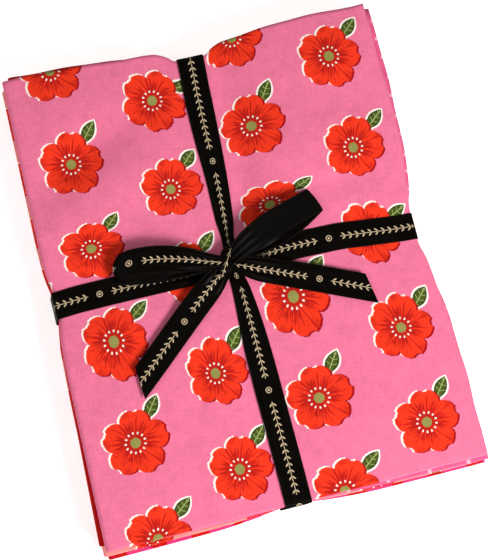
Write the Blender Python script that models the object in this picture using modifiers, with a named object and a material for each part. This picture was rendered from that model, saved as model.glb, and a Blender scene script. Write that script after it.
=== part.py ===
# Fat quarter bundle: five folded pieces of quilting cotton, tied both ways with one satin ribbon.
# Metres, +Z up. The bundle lies flat on its underside, and the origin is the middle of that base.
# The folds lie on the -X side and the -Y side, and the bow is on top.

import math
from collections import namedtuple

import bmesh
import bpy
import numpy as np
from mathutils import Matrix, Vector

MM = 0.001
INCH = 0.0254

# A fat quarter is cut 18 by 22 inches and folded in half both ways.
FOLDED_WIDTH = 9 * INCH
FOLDED_LENGTH = 11 * INCH
LAYER = 1.0 * MM
LAYERS_IN_PIECE = 4

# The stack's height where nothing presses it, and what the ribbon takes off it, above and below.
STACK_HEIGHT = 30.5 * MM
PRESS_DEPTH = 2.6 * MM
GROOVE_DEPTH = 1.8 * MM

# The gap between two pieces is this many times the gap between two layers of one piece.
PIECE_GAP_SHARE = 1.5
FOLD_GAP = 0.42 * MM

# How far the ribbon draws each side in, and how far from the side that still shows. The near side is
# a little proud beneath the ribbon instead.
DRAW_LEFT = 3.0 * MM
DRAW_RIGHT = 7.8 * MM
DRAW_NEAR = -1.2 * MM
DRAW_FAR = 9.0 * MM
DRAW_REACH = 90 * MM

# The lower leaf of a folded piece ends this much short of the upper one.
LEAF_SHORT = 1.5 * MM

RIBBON_THICK = 1.0 * MM
RIBBON_HALF_WIDTH = 8.0 * MM
RIBBON_CLEAR = 0.45 * MM
RIBBON_SIDE_CLEAR = 1.0 * MM
RIBBON_BEND = 1.8 * MM
RIBBON_BASE = 0.2 * MM

# The lengthwise band crosses over the other one on top and beneath, sunk into it by part of its thickness.
CROSSING_LIFT_TOP = 0.45 * MM
CROSSING_LIFT_BASE = 0.3 * MM

KNOT_PLACE = Vector((-8.0, 5.0)) * MM
KNOT_TURN = math.radians(59)
KNOT_SIZE = Vector((20.0, 9.4, 8.2)) * MM
KNOT_HEIGHT = 32.9 * MM
KNOT_ROUNDING = 3.2 * MM

WIDE_FOLD_STEPS = 4
TIGHT_FOLD_STEPS = 3
BEND_STEPS = 3
BASE_RUN_STEPS = 4
CURVE_STEPS = 2
CELLS_ACROSS_RIBBON = 2

Piece = namedtuple("Piece", "name shift_x shift_y turn colour")
Corner = namedtuple("Corner", "side_x side_y shift_x shift_y")
Profile = namedtuple("Profile", "distance share")
Run = namedtuple("Run", "along side half_width")
Bow = namedtuple("Bow", "along side up half_width")
Strip = namedtuple("Strip", "name rows axis cut")

# Bottom piece first: how each lies off the top piece, in millimetres and degrees.
PIECES = (
    Piece("fat_quarter_1", 1.5, -4.0, 0.1, (0.62, 0.05, 0.25)),
    Piece("fat_quarter_2", -0.6, -2.2, -0.1, (0.83, 0.30, 0.27)),
    Piece("fat_quarter_3", 1.0, 1.6, -1.4, (0.50, 0.01, 0.01)),
    Piece("fat_quarter_4", 2.4, -1.0, -0.7, (0.76, 0.14, 0.27)),
    Piece("fat_quarter_5", 0.0, 0.0, 0.0, (0.83, 0.22, 0.33)),
)

# The tied bundle is no true rectangle: how far each corner is off, in millimetres.
CORNERS = (
    Corner(-1, 1, 2.6, 0.0), Corner(1, 1, -4.0, 1.0), Corner(1, -1, 0.6, 1.0), Corner(-1, -1, -2.2, -2.0),
)
RIBBON_COLOUR = (0.012, 0.011, 0.013)

# Shares of an effect, by the distance in millimetres from the ribbon's middle or from the cloth's edge.
PRESS = (Profile(9, 1.0), Profile(22, 0.5), Profile(52, 0.1), Profile(92, 0.0))
GROOVE = (Profile(9, 1.0), Profile(22, 0.0))
EDGE_DROP = (Profile(0, 0.45), Profile(24, 0.15), Profile(64, 0.0))
FOLLOW = (Profile(22, 1.0), Profile(52, 0.0))
DRAWN_LEFT = (Profile(9, 1.0), Profile(22, 0.2), Profile(52, 0.0))
DRAWN_RIGHT = (Profile(9, 1.0), Profile(22, 0.62), Profile(52, 0.12), Profile(92, 0.0))
DRAWN_ENDS = (Profile(9, 1.0), Profile(22, 0.34), Profile(52, 0.15), Profile(92, 0.0))
RIM_X = (Profile(52, 0.0), Profile(92, 1.0))
RIM_Y = (Profile(66, 0.0), Profile(115, 1.0))

# The ribbon's runs over the top, in millimetres: along the bundle, off its axis, half its width.
LENGTHWISE = (
    Run(-140, -1.3, 8.0), Run(-73, -2.3, 8.0), Run(-51, -2.6, 7.8), Run(-30, -2.8, 6.8), Run(-11, -3.4, 5.3),
    Run(4, -5.0, 3.8), Run(20, -4.0, 3.6), Run(32, -3.1, 5.2), Run(62, -1.6, 6.6), Run(84, -1.3, 7.6),
    Run(134, 0.4, 8.0),
)
CROSSWISE = (
    Run(-112, 4.2, 8.0), Run(-96, 5.0, 8.0), Run(-60, 5.4, 8.0), Run(-20, 5.0, 7.0), Run(-8, 5.0, 5.4),
    Run(8, 5.6, 6.8), Run(30, 7.0, 8.0), Run(58, 6.7, 8.0), Run(77, 5.0, 8.0), Run(108, 2.6, 8.0),
)

# The bow in millimetres, each part along its own axis from the knot: off it, above the cloth, half width.
LOOP_LEFT = (
    Bow(0, 0.0, 3.4, 3.2), Bow(12, -1.2, 6.0, 5.2), Bow(24, -3.0, 7.8, 7.2), Bow(40, -4.2, 8.6, 8.0),
    Bow(54, -3.6, 8.0, 8.0), Bow(62, -2.0, 6.6, 8.0), Bow(66, -0.4, 4.2, 8.0), Bow(63, 0.6, 1.6, 8.0),
    Bow(54, 0.9, 0.5, 8.0), Bow(40, 0.3, 0.3, 7.9), Bow(24, -0.2, 0.5, 6.2), Bow(12, -0.2, 0.9, 4.4),
    Bow(0, 0.0, 1.2, 3.2),
)
LOOP_RIGHT = (
    Bow(0, 0.0, 3.8, 3.6), Bow(12, 2.2, 6.4, 6.6), Bow(28, 2.9, 7.8, 8.0), Bow(44, 1.6, 7.0, 8.0),
    Bow(56, 0.2, 5.2, 8.0), Bow(63, -0.4, 3.4, 7.9), Bow(65, -0.6, 1.9, 7.8), Bow(62, -1.2, 0.6, 7.9),
    Bow(48, -2.6, 0.2, 8.0), Bow(30, -2.2, 0.3, 7.4), Bow(12, -0.8, 0.8, 4.6), Bow(0, 0.0, 1.5, 3.2),
)
TAIL_LEFT = (
    Bow(0, 0.0, 2.6, 3.4), Bow(8, 0.0, 2.5, 5.6), Bow(18, -0.2, 1.8, 7.6), Bow(32, -0.4, 0.6, 8.0),
    Bow(50, -0.2, 0.1, 8.0), Bow(72, 0.2, 0.3, 8.0), Bow(87.5, 0.3, 1.0, 8.0),
)
TAIL_RIGHT = (
    Bow(0, 0.0, 3.2, 3.4), Bow(8, 0.0, 3.0, 5.2), Bow(18, 0.0, 2.0, 7.2), Bow(32, 0.3, 0.7, 7.8),
    Bow(50, 0.5, 0.1, 8.0), Bow(70, 0.2, 0.4, 8.0), Bow(86.5, 0.0, 1.2, 8.0),
)

# Each part of the bow with its axis in degrees and how far its cut end slants.
BOW_STRIPS = (
    Strip("loop_left", LOOP_LEFT, 170.7, 0.0),
    Strip("loop_right", LOOP_RIGHT, 23.8, 0.0),
    Strip("tail_left", TAIL_LEFT, -140.0, 0.73),
    Strip("tail_right", TAIL_RIGHT, -22.8, -0.65),
)

# Sizes worked out from the ones above.
HALF_WIDTH = FOLDED_WIDTH / 2
HALF_LENGTH = FOLDED_LENGTH / 2
LAYERS = LAYERS_IN_PIECE * len(PIECES)
GAPS_PER_PIECE = LAYERS_IN_PIECE - 1 + PIECE_GAP_SHARE
GAP_COUNT = GAPS_PER_PIECE * len(PIECES) - PIECE_GAP_SHARE
TIGHT_RADIUS = (LAYER + FOLD_GAP) / 2
WIDE_RADIUS = LAYER + FOLD_GAP
FOLD_LINE_X = -HALF_WIDTH + WIDE_RADIUS + TIGHT_RADIUS + LAYER / 2
FOLD_LINE_Y = -HALF_LENGTH + TIGHT_RADIUS + LAYER / 2
ON_CLOTH = STACK_HEIGHT + RIBBON_CLEAR + RIBBON_THICK / 2
BAND_TOP = STACK_HEIGHT - PRESS_DEPTH + RIBBON_CLEAR + RIBBON_THICK / 2
BAND_BASE = RIBBON_BASE + RIBBON_THICK / 2
BAND_SIDE = RIBBON_SIDE_CLEAR + RIBBON_THICK / 2

# Where the folded cloth is divided, closest beside the ribbon.
COLUMNS = [FOLD_LINE_X] + [x * MM for x in (-92, -52, -22, -9, 9, 22, 52, 92)] + [HALF_WIDTH]
ROWS = [FOLD_LINE_Y] + [y * MM for y in (-115, -66, -22, -9, 9, 22, 66, 115)] + [HALF_LENGTH]


def clear_scene():
    for item in list(bpy.data.objects):
        bpy.data.objects.remove(item, do_unlink=True)


def new_collection(name):
    collection = bpy.data.collections.new(name)
    bpy.context.scene.collection.children.link(collection)
    return collection


def new_material(name, colour, roughness):
    material = bpy.data.materials.new(name)
    material.use_nodes = True
    shader = material.node_tree.nodes["Principled BSDF"]
    shader.inputs["Base Color"].default_value = (*colour, 1.0)
    shader.inputs["Roughness"].default_value = roughness
    shader.inputs["Metallic"].default_value = 0.0
    return material


def share_at(profile, distance):
    """Read a profile of shares, kept in millimetres, at a distance in metres."""
    places = [row.distance * MM for row in profile]
    return float(np.interp(abs(distance), places, [row.share for row in profile]))


def run_at(run, along, column):
    """Read one column of a ribbon's run at a place along it."""
    places = [row.along * MM for row in run]
    return float(np.interp(along, places, [getattr(row, column) * MM for row in run]))


def side_at(run, along, share):
    """How far off its axis the ribbon's line is: straight beneath the stack, bowed over its top."""
    ends = [run[0].along * MM, run[-1].along * MM]
    straight = float(np.interp(along, ends, [run[0].side * MM, run[-1].side * MM]))
    return straight + share * (run_at(run, along, "side") - straight)


def top_height(x, y):
    """The stack's height: pressed along both runs of ribbon, and a little lower at its edges."""
    kept = (1 - share_at(PRESS, x)) * (1 - share_at(PRESS, y))
    kept *= 1 - share_at(EDGE_DROP, HALF_WIDTH - abs(x))
    kept *= 1 - share_at(EDGE_DROP, HALF_LENGTH - abs(y))
    return STACK_HEIGHT - PRESS_DEPTH * (1 - kept)


def base_height(x, y):
    """The underside: flat, but for the shallow grooves that the ribbon lies in."""
    kept = (1 - share_at(GROOVE, x)) * (1 - share_at(GROOVE, y))
    return GROOVE_DEPTH * (1 - kept)


def drawn_in(x, y, share):
    """Draw the outline in beside the ribbon, and let the cloth follow the ribbon's own line."""
    reach_x = max(0.0, 1 - (HALF_WIDTH - abs(x)) / DRAW_REACH)
    reach_y = max(0.0, 1 - (HALF_LENGTH - abs(y)) / DRAW_REACH)
    pull_x = DRAW_LEFT if x < 0 else -DRAW_RIGHT
    pull_y = DRAW_NEAR if y < 0 else -DRAW_FAR
    follow_x = side_at(LENGTHWISE, y, share) * share_at(FOLLOW, x)
    follow_y = side_at(CROSSWISE, x, share) * share_at(FOLLOW, y)
    drawn_x = share_at(DRAWN_LEFT if x < 0 else DRAWN_RIGHT, y)
    new_x = x + pull_x * reach_x * drawn_x + follow_x
    new_y = y + pull_y * reach_y * share_at(DRAWN_ENDS, x) + follow_y
    return new_x, new_y


def shifted(piece, x, y, rest_x, rest_y):
    """Turn and shift the rim of one piece, but not where the ribbon holds it."""
    rim_x = share_at(RIM_X, rest_x) * (1 - share_at(PRESS, rest_y))
    rim_y = share_at(RIM_Y, rest_y) * (1 - share_at(PRESS, rest_x))
    weight = max(rim_x, rim_y)
    for corner in CORNERS:
        near = (1 + corner.side_x * x / HALF_WIDTH) * (1 + corner.side_y * y / HALF_LENGTH) / 4
        x += weight * near * corner.shift_x * MM
        y += weight * near * corner.shift_y * MM
    angle = math.radians(piece.turn)
    turned_x = x * math.cos(angle) - y * math.sin(angle) + piece.shift_x * MM
    turned_y = x * math.sin(angle) + y * math.cos(angle) + piece.shift_y * MM
    return x + weight * (turned_x - x), y + weight * (turned_y - y)


def fold_stations(places, steps):
    """The lower leaf back to the fold, the fold's arc, and the upper leaf out again: place and angle."""
    quarter = math.pi / 2
    lower = [(places[-1] - LEAF_SHORT, -quarter)] + [(place, -quarter) for place in reversed(places[:-1])]
    arc = [(places[0], -quarter + math.pi * step / steps) for step in range(1, steps)]
    upper = [(place, quarter) for place in places]
    return lower + arc + upper


def folded_point(piece, level, column, row):
    """Where one point of the cut cloth lies once it is folded, stacked and tied."""
    leaf_x, turn_x = column
    leaf_y, turn_y = row
    rise = TIGHT_RADIUS * math.sin(turn_y)
    rest_y = leaf_y - TIGHT_RADIUS * math.cos(turn_y)
    rest_x = leaf_x - (WIDE_RADIUS + rise) * math.cos(turn_x)
    layer_place = (WIDE_RADIUS + rise) * math.sin(turn_x) / WIDE_RADIUS + (LAYERS_IN_PIECE - 1) / 2

    base = base_height(leaf_x, leaf_y)
    gap = (top_height(leaf_x, leaf_y) - base - LAYERS * LAYER) / GAP_COUNT
    bottom = base + level * (LAYERS_IN_PIECE * LAYER + GAPS_PER_PIECE * gap)
    z = bottom + LAYER / 2 + layer_place * (LAYER + gap)
    x, y = drawn_in(rest_x, rest_y, (level * LAYERS_IN_PIECE + layer_place) / (LAYERS - 1))
    x, y = shifted(piece, x, y, rest_x, rest_y)
    return Vector((x, y, z))


def sheet_object(name, collection, columns, rows, point, closed=False):
    """A flat grid moved point by point into its shape, then given its thickness."""
    sheet = bmesh.new()
    bmesh.ops.create_grid(sheet, x_segments=columns - 1, y_segments=rows - 1, size=0.5)
    # The two leaves of a fold are cut along the same diagonals, so that they nest.
    straight = []
    crossed = []
    for face in sheet.faces:
        face.smooth = True
        middle = face.calc_center_median()
        chosen = straight if (middle.x < 0) == (middle.y < 0) else crossed
        chosen.append(face)
    bmesh.ops.triangulate(sheet, faces=straight, quad_method="FIXED")
    bmesh.ops.triangulate(sheet, faces=crossed, quad_method="ALTERNATE")
    for vertex in sheet.verts:
        column = round((vertex.co.x + 0.5) * (columns - 1))
        row = round((vertex.co.y + 0.5) * (rows - 1))
        vertex.co = point(column, row)
    if closed:
        bmesh.ops.remove_doubles(sheet, verts=sheet.verts, dist=0.01 * MM)
    mesh = bpy.data.meshes.new(name)
    sheet.to_mesh(mesh)
    sheet.free()
    item = bpy.data.objects.new(name, mesh)
    collection.objects.link(item)
    return item


def add_thickness(item, thickness):
    solidify = item.modifiers.new("Thickness", "SOLIDIFY")
    solidify.thickness = thickness
    solidify.offset = 0.0
    solidify.use_even_offset = True


def make_fat_quarter(piece, level, collection):
    columns = fold_stations(COLUMNS, WIDE_FOLD_STEPS)
    rows = fold_stations(ROWS, TIGHT_FOLD_STEPS)

    def point(column, row):
        return folded_point(piece, level, columns[column], rows[row])

    item = sheet_object(piece.name, collection, len(columns), len(rows), point)
    add_thickness(item, LAYER)
    item.data.materials.append(new_material(piece.name + " cotton", piece.colour, 0.85))
    return item


def band_stations(run, low_end, high_end, lift_top, lift_base):
    """Once round the stack: place along, height, offset off the axis, half width."""
    top = BAND_TOP + lift_top
    base = BAND_BASE + lift_base
    stations = []

    def add(along, height, on_top):
        half_width = run_at(run, along, "half_width") if on_top else RIBBON_HALF_WIDTH
        stations.append((along, height, side_at(run, along, float(on_top)), half_width))

    def add_bend(centre_along, centre_height, start):
        for step in range(BEND_STEPS + 1):
            angle = math.radians(start + 90 * step / BEND_STEPS)
            along = centre_along + RIBBON_BEND * math.cos(angle)
            add(along, centre_height + RIBBON_BEND * math.sin(angle), False)

    for row in reversed(run):
        if low_end + 2 * RIBBON_BEND < row.along * MM < high_end - 2 * RIBBON_BEND:
            add(row.along * MM, top, True)
    add_bend(low_end + RIBBON_BEND, top - RIBBON_BEND, 90)
    add_bend(low_end + RIBBON_BEND, base + RIBBON_BEND, 180)
    for step in range(1, BASE_RUN_STEPS):
        add(low_end + (high_end - low_end) * step / BASE_RUN_STEPS, base, False)
    add_bend(high_end - RIBBON_BEND, base + RIBBON_BEND, 270)
    add_bend(high_end - RIBBON_BEND, top - RIBBON_BEND, 0)
    return stations + stations[:1]


def make_band(name, collection, stations, lengthwise):
    def point(column, row):
        along, height, side, half_width = stations[column]
        across = side + half_width * (2 * row / CELLS_ACROSS_RIBBON - 1)
        if lengthwise:
            return Vector((across, along, height))
        return Vector((along, across, height))

    item = sheet_object(name, collection, len(stations), CELLS_ACROSS_RIBBON + 1, point, closed=True)
    add_thickness(item, RIBBON_THICK)
    return item


def curve_rows(rows):
    """More rows between the given ones of a table, on a smooth curve through them."""
    table = np.array(rows, dtype=float)
    padded = np.vstack([2 * table[0] - table[1], table, 2 * table[-1] - table[-2]])
    found = []
    for index in range(1, len(padded) - 2):
        before, start, end, after = padded[index - 1:index + 3]
        for step in range(CURVE_STEPS):
            t = step / CURVE_STEPS
            straight = (end - before) * t + (2 * before - 5 * start + 4 * end - after) * t ** 2
            bend = (3 * start - before - 3 * end + after) * t ** 3
            found.append(start + (straight + bend) / 2)
    found.append(table[-1])
    return [type(rows[0])(*row) for row in found]


def make_bow_strip(strip, collection):
    rows = curve_rows(strip.rows)
    angle = math.radians(strip.axis)
    forward = Vector((math.cos(angle), math.sin(angle)))
    sideways = Vector((-math.sin(angle), math.cos(angle)))

    def point(column, row):
        place = rows[column]
        share = 2 * row / CELLS_ACROSS_RIBBON - 1
        across = share * place.half_width
        slant = strip.cut * across if column == len(rows) - 1 else 0.0
        plan = KNOT_PLACE + (forward * (place.along + slant) + sideways * (place.side + across)) * MM
        return Vector((plan.x, plan.y, ON_CLOTH + place.up * MM))

    item = sheet_object(strip.name, collection, len(rows), CELLS_ACROSS_RIBBON + 1, point)
    add_thickness(item, RIBBON_THICK)
    return item


def make_knot(collection):
    block = bmesh.new()
    bmesh.ops.create_cube(block, size=1.0)
    bmesh.ops.scale(block, vec=KNOT_SIZE, verts=block.verts)
    mesh = bpy.data.meshes.new("knot")
    block.to_mesh(mesh)
    block.free()
    item = bpy.data.objects.new("knot", mesh)
    item.location = (KNOT_PLACE.x, KNOT_PLACE.y, KNOT_HEIGHT)
    item.rotation_euler = (0.0, 0.0, KNOT_TURN)
    collection.objects.link(item)
    rounding = item.modifiers.new("Rounding", "BEVEL")
    rounding.width = KNOT_ROUNDING
    rounding.segments = 3
    return item


def make_ribbon(collection, joined):
    """One closed solid: both bands, the knot, the two loops and the two tails."""
    near = -HALF_LENGTH + DRAW_NEAR - BAND_SIDE
    far = HALF_LENGTH - DRAW_FAR + BAND_SIDE
    left = -HALF_WIDTH + DRAW_LEFT - BAND_SIDE
    right = HALF_WIDTH - DRAW_RIGHT + BAND_SIDE
    lengthwise = band_stations(curve_rows(LENGTHWISE), near, far, CROSSING_LIFT_TOP, CROSSING_LIFT_BASE)
    crosswise = band_stations(curve_rows(CROSSWISE), left, right, 0.0, 0.0)
    ribbon = make_band("ribbon", collection, lengthwise, True)
    others = [make_band("crosswise_band", joined, crosswise, False), make_knot(joined)]
    others += [make_bow_strip(strip, joined) for strip in BOW_STRIPS]
    for other in others:
        other.hide_render = True
        other.display_type = "WIRE"
        union = ribbon.modifiers.new("Join " + other.name, "BOOLEAN")
        union.operation = "UNION"
        union.solver = "EXACT"
        union.object = other
    ribbon.data.materials.append(new_material("black satin", RIBBON_COLOUR, 0.35))
    return [ribbon], others


def centre_on_base(pieces, everything):
    """Hang all objects under one empty, placed so that the origin is the middle of the base."""
    bpy.context.view_layer.update()
    graph = bpy.context.evaluated_depsgraph_get()
    corners = []
    for piece in pieces:
        corners += [piece.matrix_world @ Vector(corner) for corner in piece.evaluated_get(graph).bound_box]
    low = Vector(min(corner[axis] for corner in corners) for axis in range(3))
    high = Vector(max(corner[axis] for corner in corners) for axis in range(3))
    middle = (low + high) / 2
    base = bpy.data.objects.new("bundle_base", None)
    base.location = (-middle.x, -middle.y, -low.z)
    bpy.context.scene.collection.objects.link(base)
    for item in everything:
        item.parent = base
        item.matrix_parent_inverse = Matrix.Identity(4)


def main():
    clear_scene()
    bundle = new_collection("fat_quarter_bundle")
    joined = new_collection("ribbon_parts")
    pieces = [make_fat_quarter(piece, level, bundle) for level, piece in enumerate(PIECES)]
    ribbon, others = make_ribbon(bundle, joined)
    centre_on_base(pieces + ribbon, pieces + ribbon + others)


main()
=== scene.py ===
# %% [markdown]
# # A fat quarter bundle, tied both ways with satin ribbon
# Five fat quarters of printed quilting cotton are folded to one size, stacked and tied with a single
# black satin ribbon that ends in a bow. The packed CAD model gives every place and size, so this scene
# loads it first and then dresses it: thin cloth in place of the plain solids, and finishes made of nodes.

# %% Load the packed bundle
import math
from collections import namedtuple

import bpy
import numpy as np
from mathutils import Matrix, Vector


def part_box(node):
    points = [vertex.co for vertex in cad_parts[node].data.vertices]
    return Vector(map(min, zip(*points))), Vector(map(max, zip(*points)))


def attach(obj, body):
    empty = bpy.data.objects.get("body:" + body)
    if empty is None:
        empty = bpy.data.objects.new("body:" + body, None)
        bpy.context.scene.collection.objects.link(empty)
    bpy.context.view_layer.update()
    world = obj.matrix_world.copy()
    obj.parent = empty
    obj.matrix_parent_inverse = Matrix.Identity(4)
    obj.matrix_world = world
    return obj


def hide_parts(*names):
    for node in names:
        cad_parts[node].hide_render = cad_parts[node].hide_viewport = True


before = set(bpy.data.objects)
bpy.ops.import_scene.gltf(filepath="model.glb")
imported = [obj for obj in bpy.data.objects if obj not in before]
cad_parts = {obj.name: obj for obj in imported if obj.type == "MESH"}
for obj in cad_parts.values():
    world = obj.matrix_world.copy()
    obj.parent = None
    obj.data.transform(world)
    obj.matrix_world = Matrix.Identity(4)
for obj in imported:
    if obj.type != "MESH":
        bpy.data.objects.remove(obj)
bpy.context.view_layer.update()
print("CAD pieces:", sorted(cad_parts))

# %% [markdown]
# ## Sizes
# A fat quarter is cut 18 by 22 inches and folded in half both ways, which gives 9 by 11 inches in four
# layers. The same named sizes shape the CAD solids, so cloth made from them lies on its solid's folds.
# The solids are moved so that the middle of the base is the origin, and the ribbon's box tells how far.

# %% Named sizes in metres
MM = 0.001
INCH = 0.0254
FOLDED_WIDTH = 9 * INCH
FOLDED_LENGTH = 11 * INCH
HALF_WIDTH = FOLDED_WIDTH / 2
HALF_LENGTH = FOLDED_LENGTH / 2
LAYER = 1.0 * MM
LAYERS_IN_PIECE = 4
PIECE_COUNT = 5
LAYERS = LAYERS_IN_PIECE * PIECE_COUNT

STACK_HEIGHT = 30.5 * MM
PRESS_DEPTH = 2.6 * MM
GROOVE_DEPTH = 1.8 * MM
PIECE_GAP_SHARE = 1.5
GAPS_PER_PIECE = LAYERS_IN_PIECE - 1 + PIECE_GAP_SHARE
GAP_COUNT = GAPS_PER_PIECE * PIECE_COUNT - PIECE_GAP_SHARE
FOLD_GAP = 0.42 * MM
TIGHT_RADIUS = (LAYER + FOLD_GAP) / 2
WIDE_RADIUS = LAYER + FOLD_GAP
FOLD_LINE_X = -HALF_WIDTH + WIDE_RADIUS + TIGHT_RADIUS + LAYER / 2
FOLD_LINE_Y = -HALF_LENGTH + TIGHT_RADIUS + LAYER / 2
LEAF_SHORT = 1.5 * MM

DRAW_LEFT = 3.0 * MM
DRAW_RIGHT = 7.8 * MM
DRAW_NEAR = -1.2 * MM
DRAW_FAR = 8.6 * MM
DRAW_REACH = 90 * MM

RIBBON_HALF_WIDTH = 8.0 * MM
SOLID_RIBBON_SIDE = 2.0 * MM
solid_ribbon_low = Vector(
    (-HALF_WIDTH + DRAW_LEFT - SOLID_RIBBON_SIDE, -HALF_LENGTH + DRAW_NEAR - SOLID_RIBBON_SIDE, 0.0)
)
BASE_SHIFT = Vector(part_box("ribbon")[0]) - solid_ribbon_low
BASE_SHIFT.z = 0.0
print("The solids are shifted by", [round(value / MM, 2) for value in BASE_SHIFT], "mm")

# %% [markdown]
# ## The camera
# The photograph looks down on the bundle from a little to its left, and the bundle is turned in the
# frame. The camera was placed by fitting the corners and the ribbon's crossings of the CAD model to the
# photograph. A long lens keeps the stack's sides nearly parallel, as they are there.

# %% Place the camera
CAMERA_PLACE = BASE_SHIFT + Vector((-0.1826, -0.1624, 1.3009))
CAMERA_BACK = Vector((-0.1432, -0.1201, 0.9824)).normalized()
CAMERA_UP = Vector((0.2244, 0.9628, 0.1504))
LENS_MM = 141.43
SENSOR_MM = 36.0
FARTHEST_SEEN = 20.0

camera_side = CAMERA_UP.cross(CAMERA_BACK).normalized()
camera_axes = Matrix((camera_side, CAMERA_BACK.cross(camera_side), CAMERA_BACK)).transposed()
camera_data = bpy.data.cameras.new("bundle_camera")
camera_data.lens = LENS_MM
camera_data.sensor_width = SENSOR_MM
camera_data.clip_end = FARTHEST_SEEN
camera = bpy.data.objects.new("bundle_camera", camera_data)
camera.matrix_world = Matrix.Translation(CAMERA_PLACE) @ camera_axes.to_4x4()
bpy.context.scene.collection.objects.link(camera)
bpy.context.scene.camera = camera
print("Camera:", round(CAMERA_PLACE.length, 2), "m away, with a lens of", LENS_MM, "mm")

# %% [markdown]
# ## The light
# The photograph is a cut-out on white. The light is soft, and stronger from the near right, which is what
# shows the folds: the sides that face away from it are a deeper pink. One square lamp gives that
# direction, and a weaker one opposite and a pale world lift the shade. The view transform is Standard,
# because a filmic one would grey the white floor and dull the pink.

# %% Light the bundle
LampRow = namedtuple("LampRow", "name place size power")
LAMPS = (
    LampRow("window_light", (0.50, -0.76, 0.96), 0.45, 19.0),
    LampRow("fill_light", (-0.75, 0.25, 1.1), 1.0, 3.6),
)
ROOM_COLOUR = (1.0, 0.985, 0.97, 1.0)
ROOM_STRENGTH = 0.26


def add_lamp(row):
    lamp = bpy.data.lights.new(row.name, "AREA")
    lamp.energy = row.power
    lamp.size = row.size
    item = bpy.data.objects.new(row.name, lamp)
    item.location = row.place
    item.rotation_euler = (-Vector(row.place)).to_track_quat("-Z", "Y").to_euler()
    bpy.context.scene.collection.objects.link(item)
    return item


lamps = [add_lamp(row) for row in LAMPS]
world = bpy.data.worlds.new("pale_room")
world.use_nodes = True
background = world.node_tree.nodes["Background"]
background.inputs["Color"].default_value = ROOM_COLOUR
background.inputs["Strength"].default_value = ROOM_STRENGTH
bpy.context.scene.world = world
bpy.context.scene.view_settings.view_transform = "Standard"
bpy.context.scene.view_settings.look = "None"
print("Lamps:", [lamp.name for lamp in lamps])

# %% [markdown]
# ## A bench for nodes
# A print on cloth is a sum of many small sums: how far a point is from a petal's edge, which thread it
# lies on. Written with a few helpers, such sums stay readable. Each helper takes plain values or another
# node's output, and gives back an output that the next one can use.

# %% Helpers that add nodes to a tree
# A Mix node has sockets for every kind of value. These are the ones that it mixes colours with.
MIX_SHARE = 0
MIX_UNDER = 6
MIX_OVER = 7
MIX_RESULT = 2


class NodeBench:
    """Adds nodes to one tree. Every input may be a plain value or another node's output."""

    def __init__(self, tree):
        self.tree = tree

    def feed(self, socket, value):
        if isinstance(value, bpy.types.NodeSocket):
            self.tree.links.new(value, socket)
        else:
            socket.default_value = value

    def add(self, kind, inputs, **settings):
        node = self.tree.nodes.new(kind)
        for name, value in settings.items():
            setattr(node, name, value)
        for name, value in inputs.items():
            self.feed(node.inputs[name], value)
        return node

    def sum(self, operation, *values):
        node = self.tree.nodes.new("ShaderNodeMath")
        node.operation = operation
        for socket, value in zip(node.inputs, values):
            self.feed(socket, value)
        return node.outputs["Value"]

    def vector(self, operation, first, second=(0.0, 0.0, 0.0)):
        node = self.tree.nodes.new("ShaderNodeVectorMath")
        node.operation = operation
        self.feed(node.inputs[0], first)
        if operation == "SCALE":
            self.feed(node.inputs["Scale"], second)
        else:
            self.feed(node.inputs[1], second)
        return node.outputs["Value" if operation == "LENGTH" else "Vector"]

    def parts(self, vector):
        """How far along and how far across the flat cloth a place is."""
        node = self.add("ShaderNodeSeparateXYZ", {"Vector": vector})
        return node.outputs["X"], node.outputs["Y"]

    def join(self, x, y, z=0.0):
        return self.add("ShaderNodeCombineXYZ", {"X": x, "Y": y, "Z": z}).outputs["Vector"]

    def soft_step(self, value, start, end):
        """0 at the start, 1 at the end and smooth between them, whichever of the two is larger."""
        inputs = {"Value": value, "From Min": start, "From Max": end}
        node = self.add("ShaderNodeMapRange", inputs, interpolation_type="SMOOTHSTEP")
        return node.outputs["Result"]

    def noise(self, vector, scale, detail=2.0):
        inputs = {"Vector": vector, "Scale": scale, "Detail": detail}
        return self.add("ShaderNodeTexNoise", inputs, noise_dimensions="2D").outputs[0]

    def over(self, under, ink, mask):
        """A second colour laid over the first one where the mask is 1."""
        node = self.add("ShaderNodeMix", {}, data_type="RGBA")
        self.feed(node.inputs[MIX_SHARE], mask)
        self.feed(node.inputs[MIX_UNDER], under)
        self.feed(node.inputs[MIX_OVER], ink)
        return node.outputs[MIX_RESULT]

    def group(self, tree, inputs):
        node = self.add("ShaderNodeGroup", {}, node_tree=tree)
        for name, value in inputs.items():
            self.feed(node.inputs[name], value)
        return node.outputs


print("The bench can:", [name for name in vars(NodeBench) if not name.startswith("_")])

# %% Start a node group
SOCKET_KINDS = {"number": "NodeSocketFloat", "vector": "NodeSocketVector", "colour": "NodeSocketColor"}


def start_group(name, inputs, outputs):
    """A new node group with named inputs and outputs, and a bench to fill it."""
    tree = bpy.data.node_groups.new(name, "ShaderNodeTree")
    for label, kind, value in inputs:
        socket = tree.interface.new_socket(label, in_out="INPUT", socket_type=SOCKET_KINDS[kind])
        socket.default_value = value
    for label, kind in outputs:
        tree.interface.new_socket(label, in_out="OUTPUT", socket_type=SOCKET_KINDS[kind])
    given = tree.nodes.new("NodeGroupInput").outputs
    made = tree.nodes.new("NodeGroupOutput").inputs
    return NodeBench(tree), given, made, tree


print("Values that a group can take or give:", list(SOCKET_KINDS))
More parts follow.
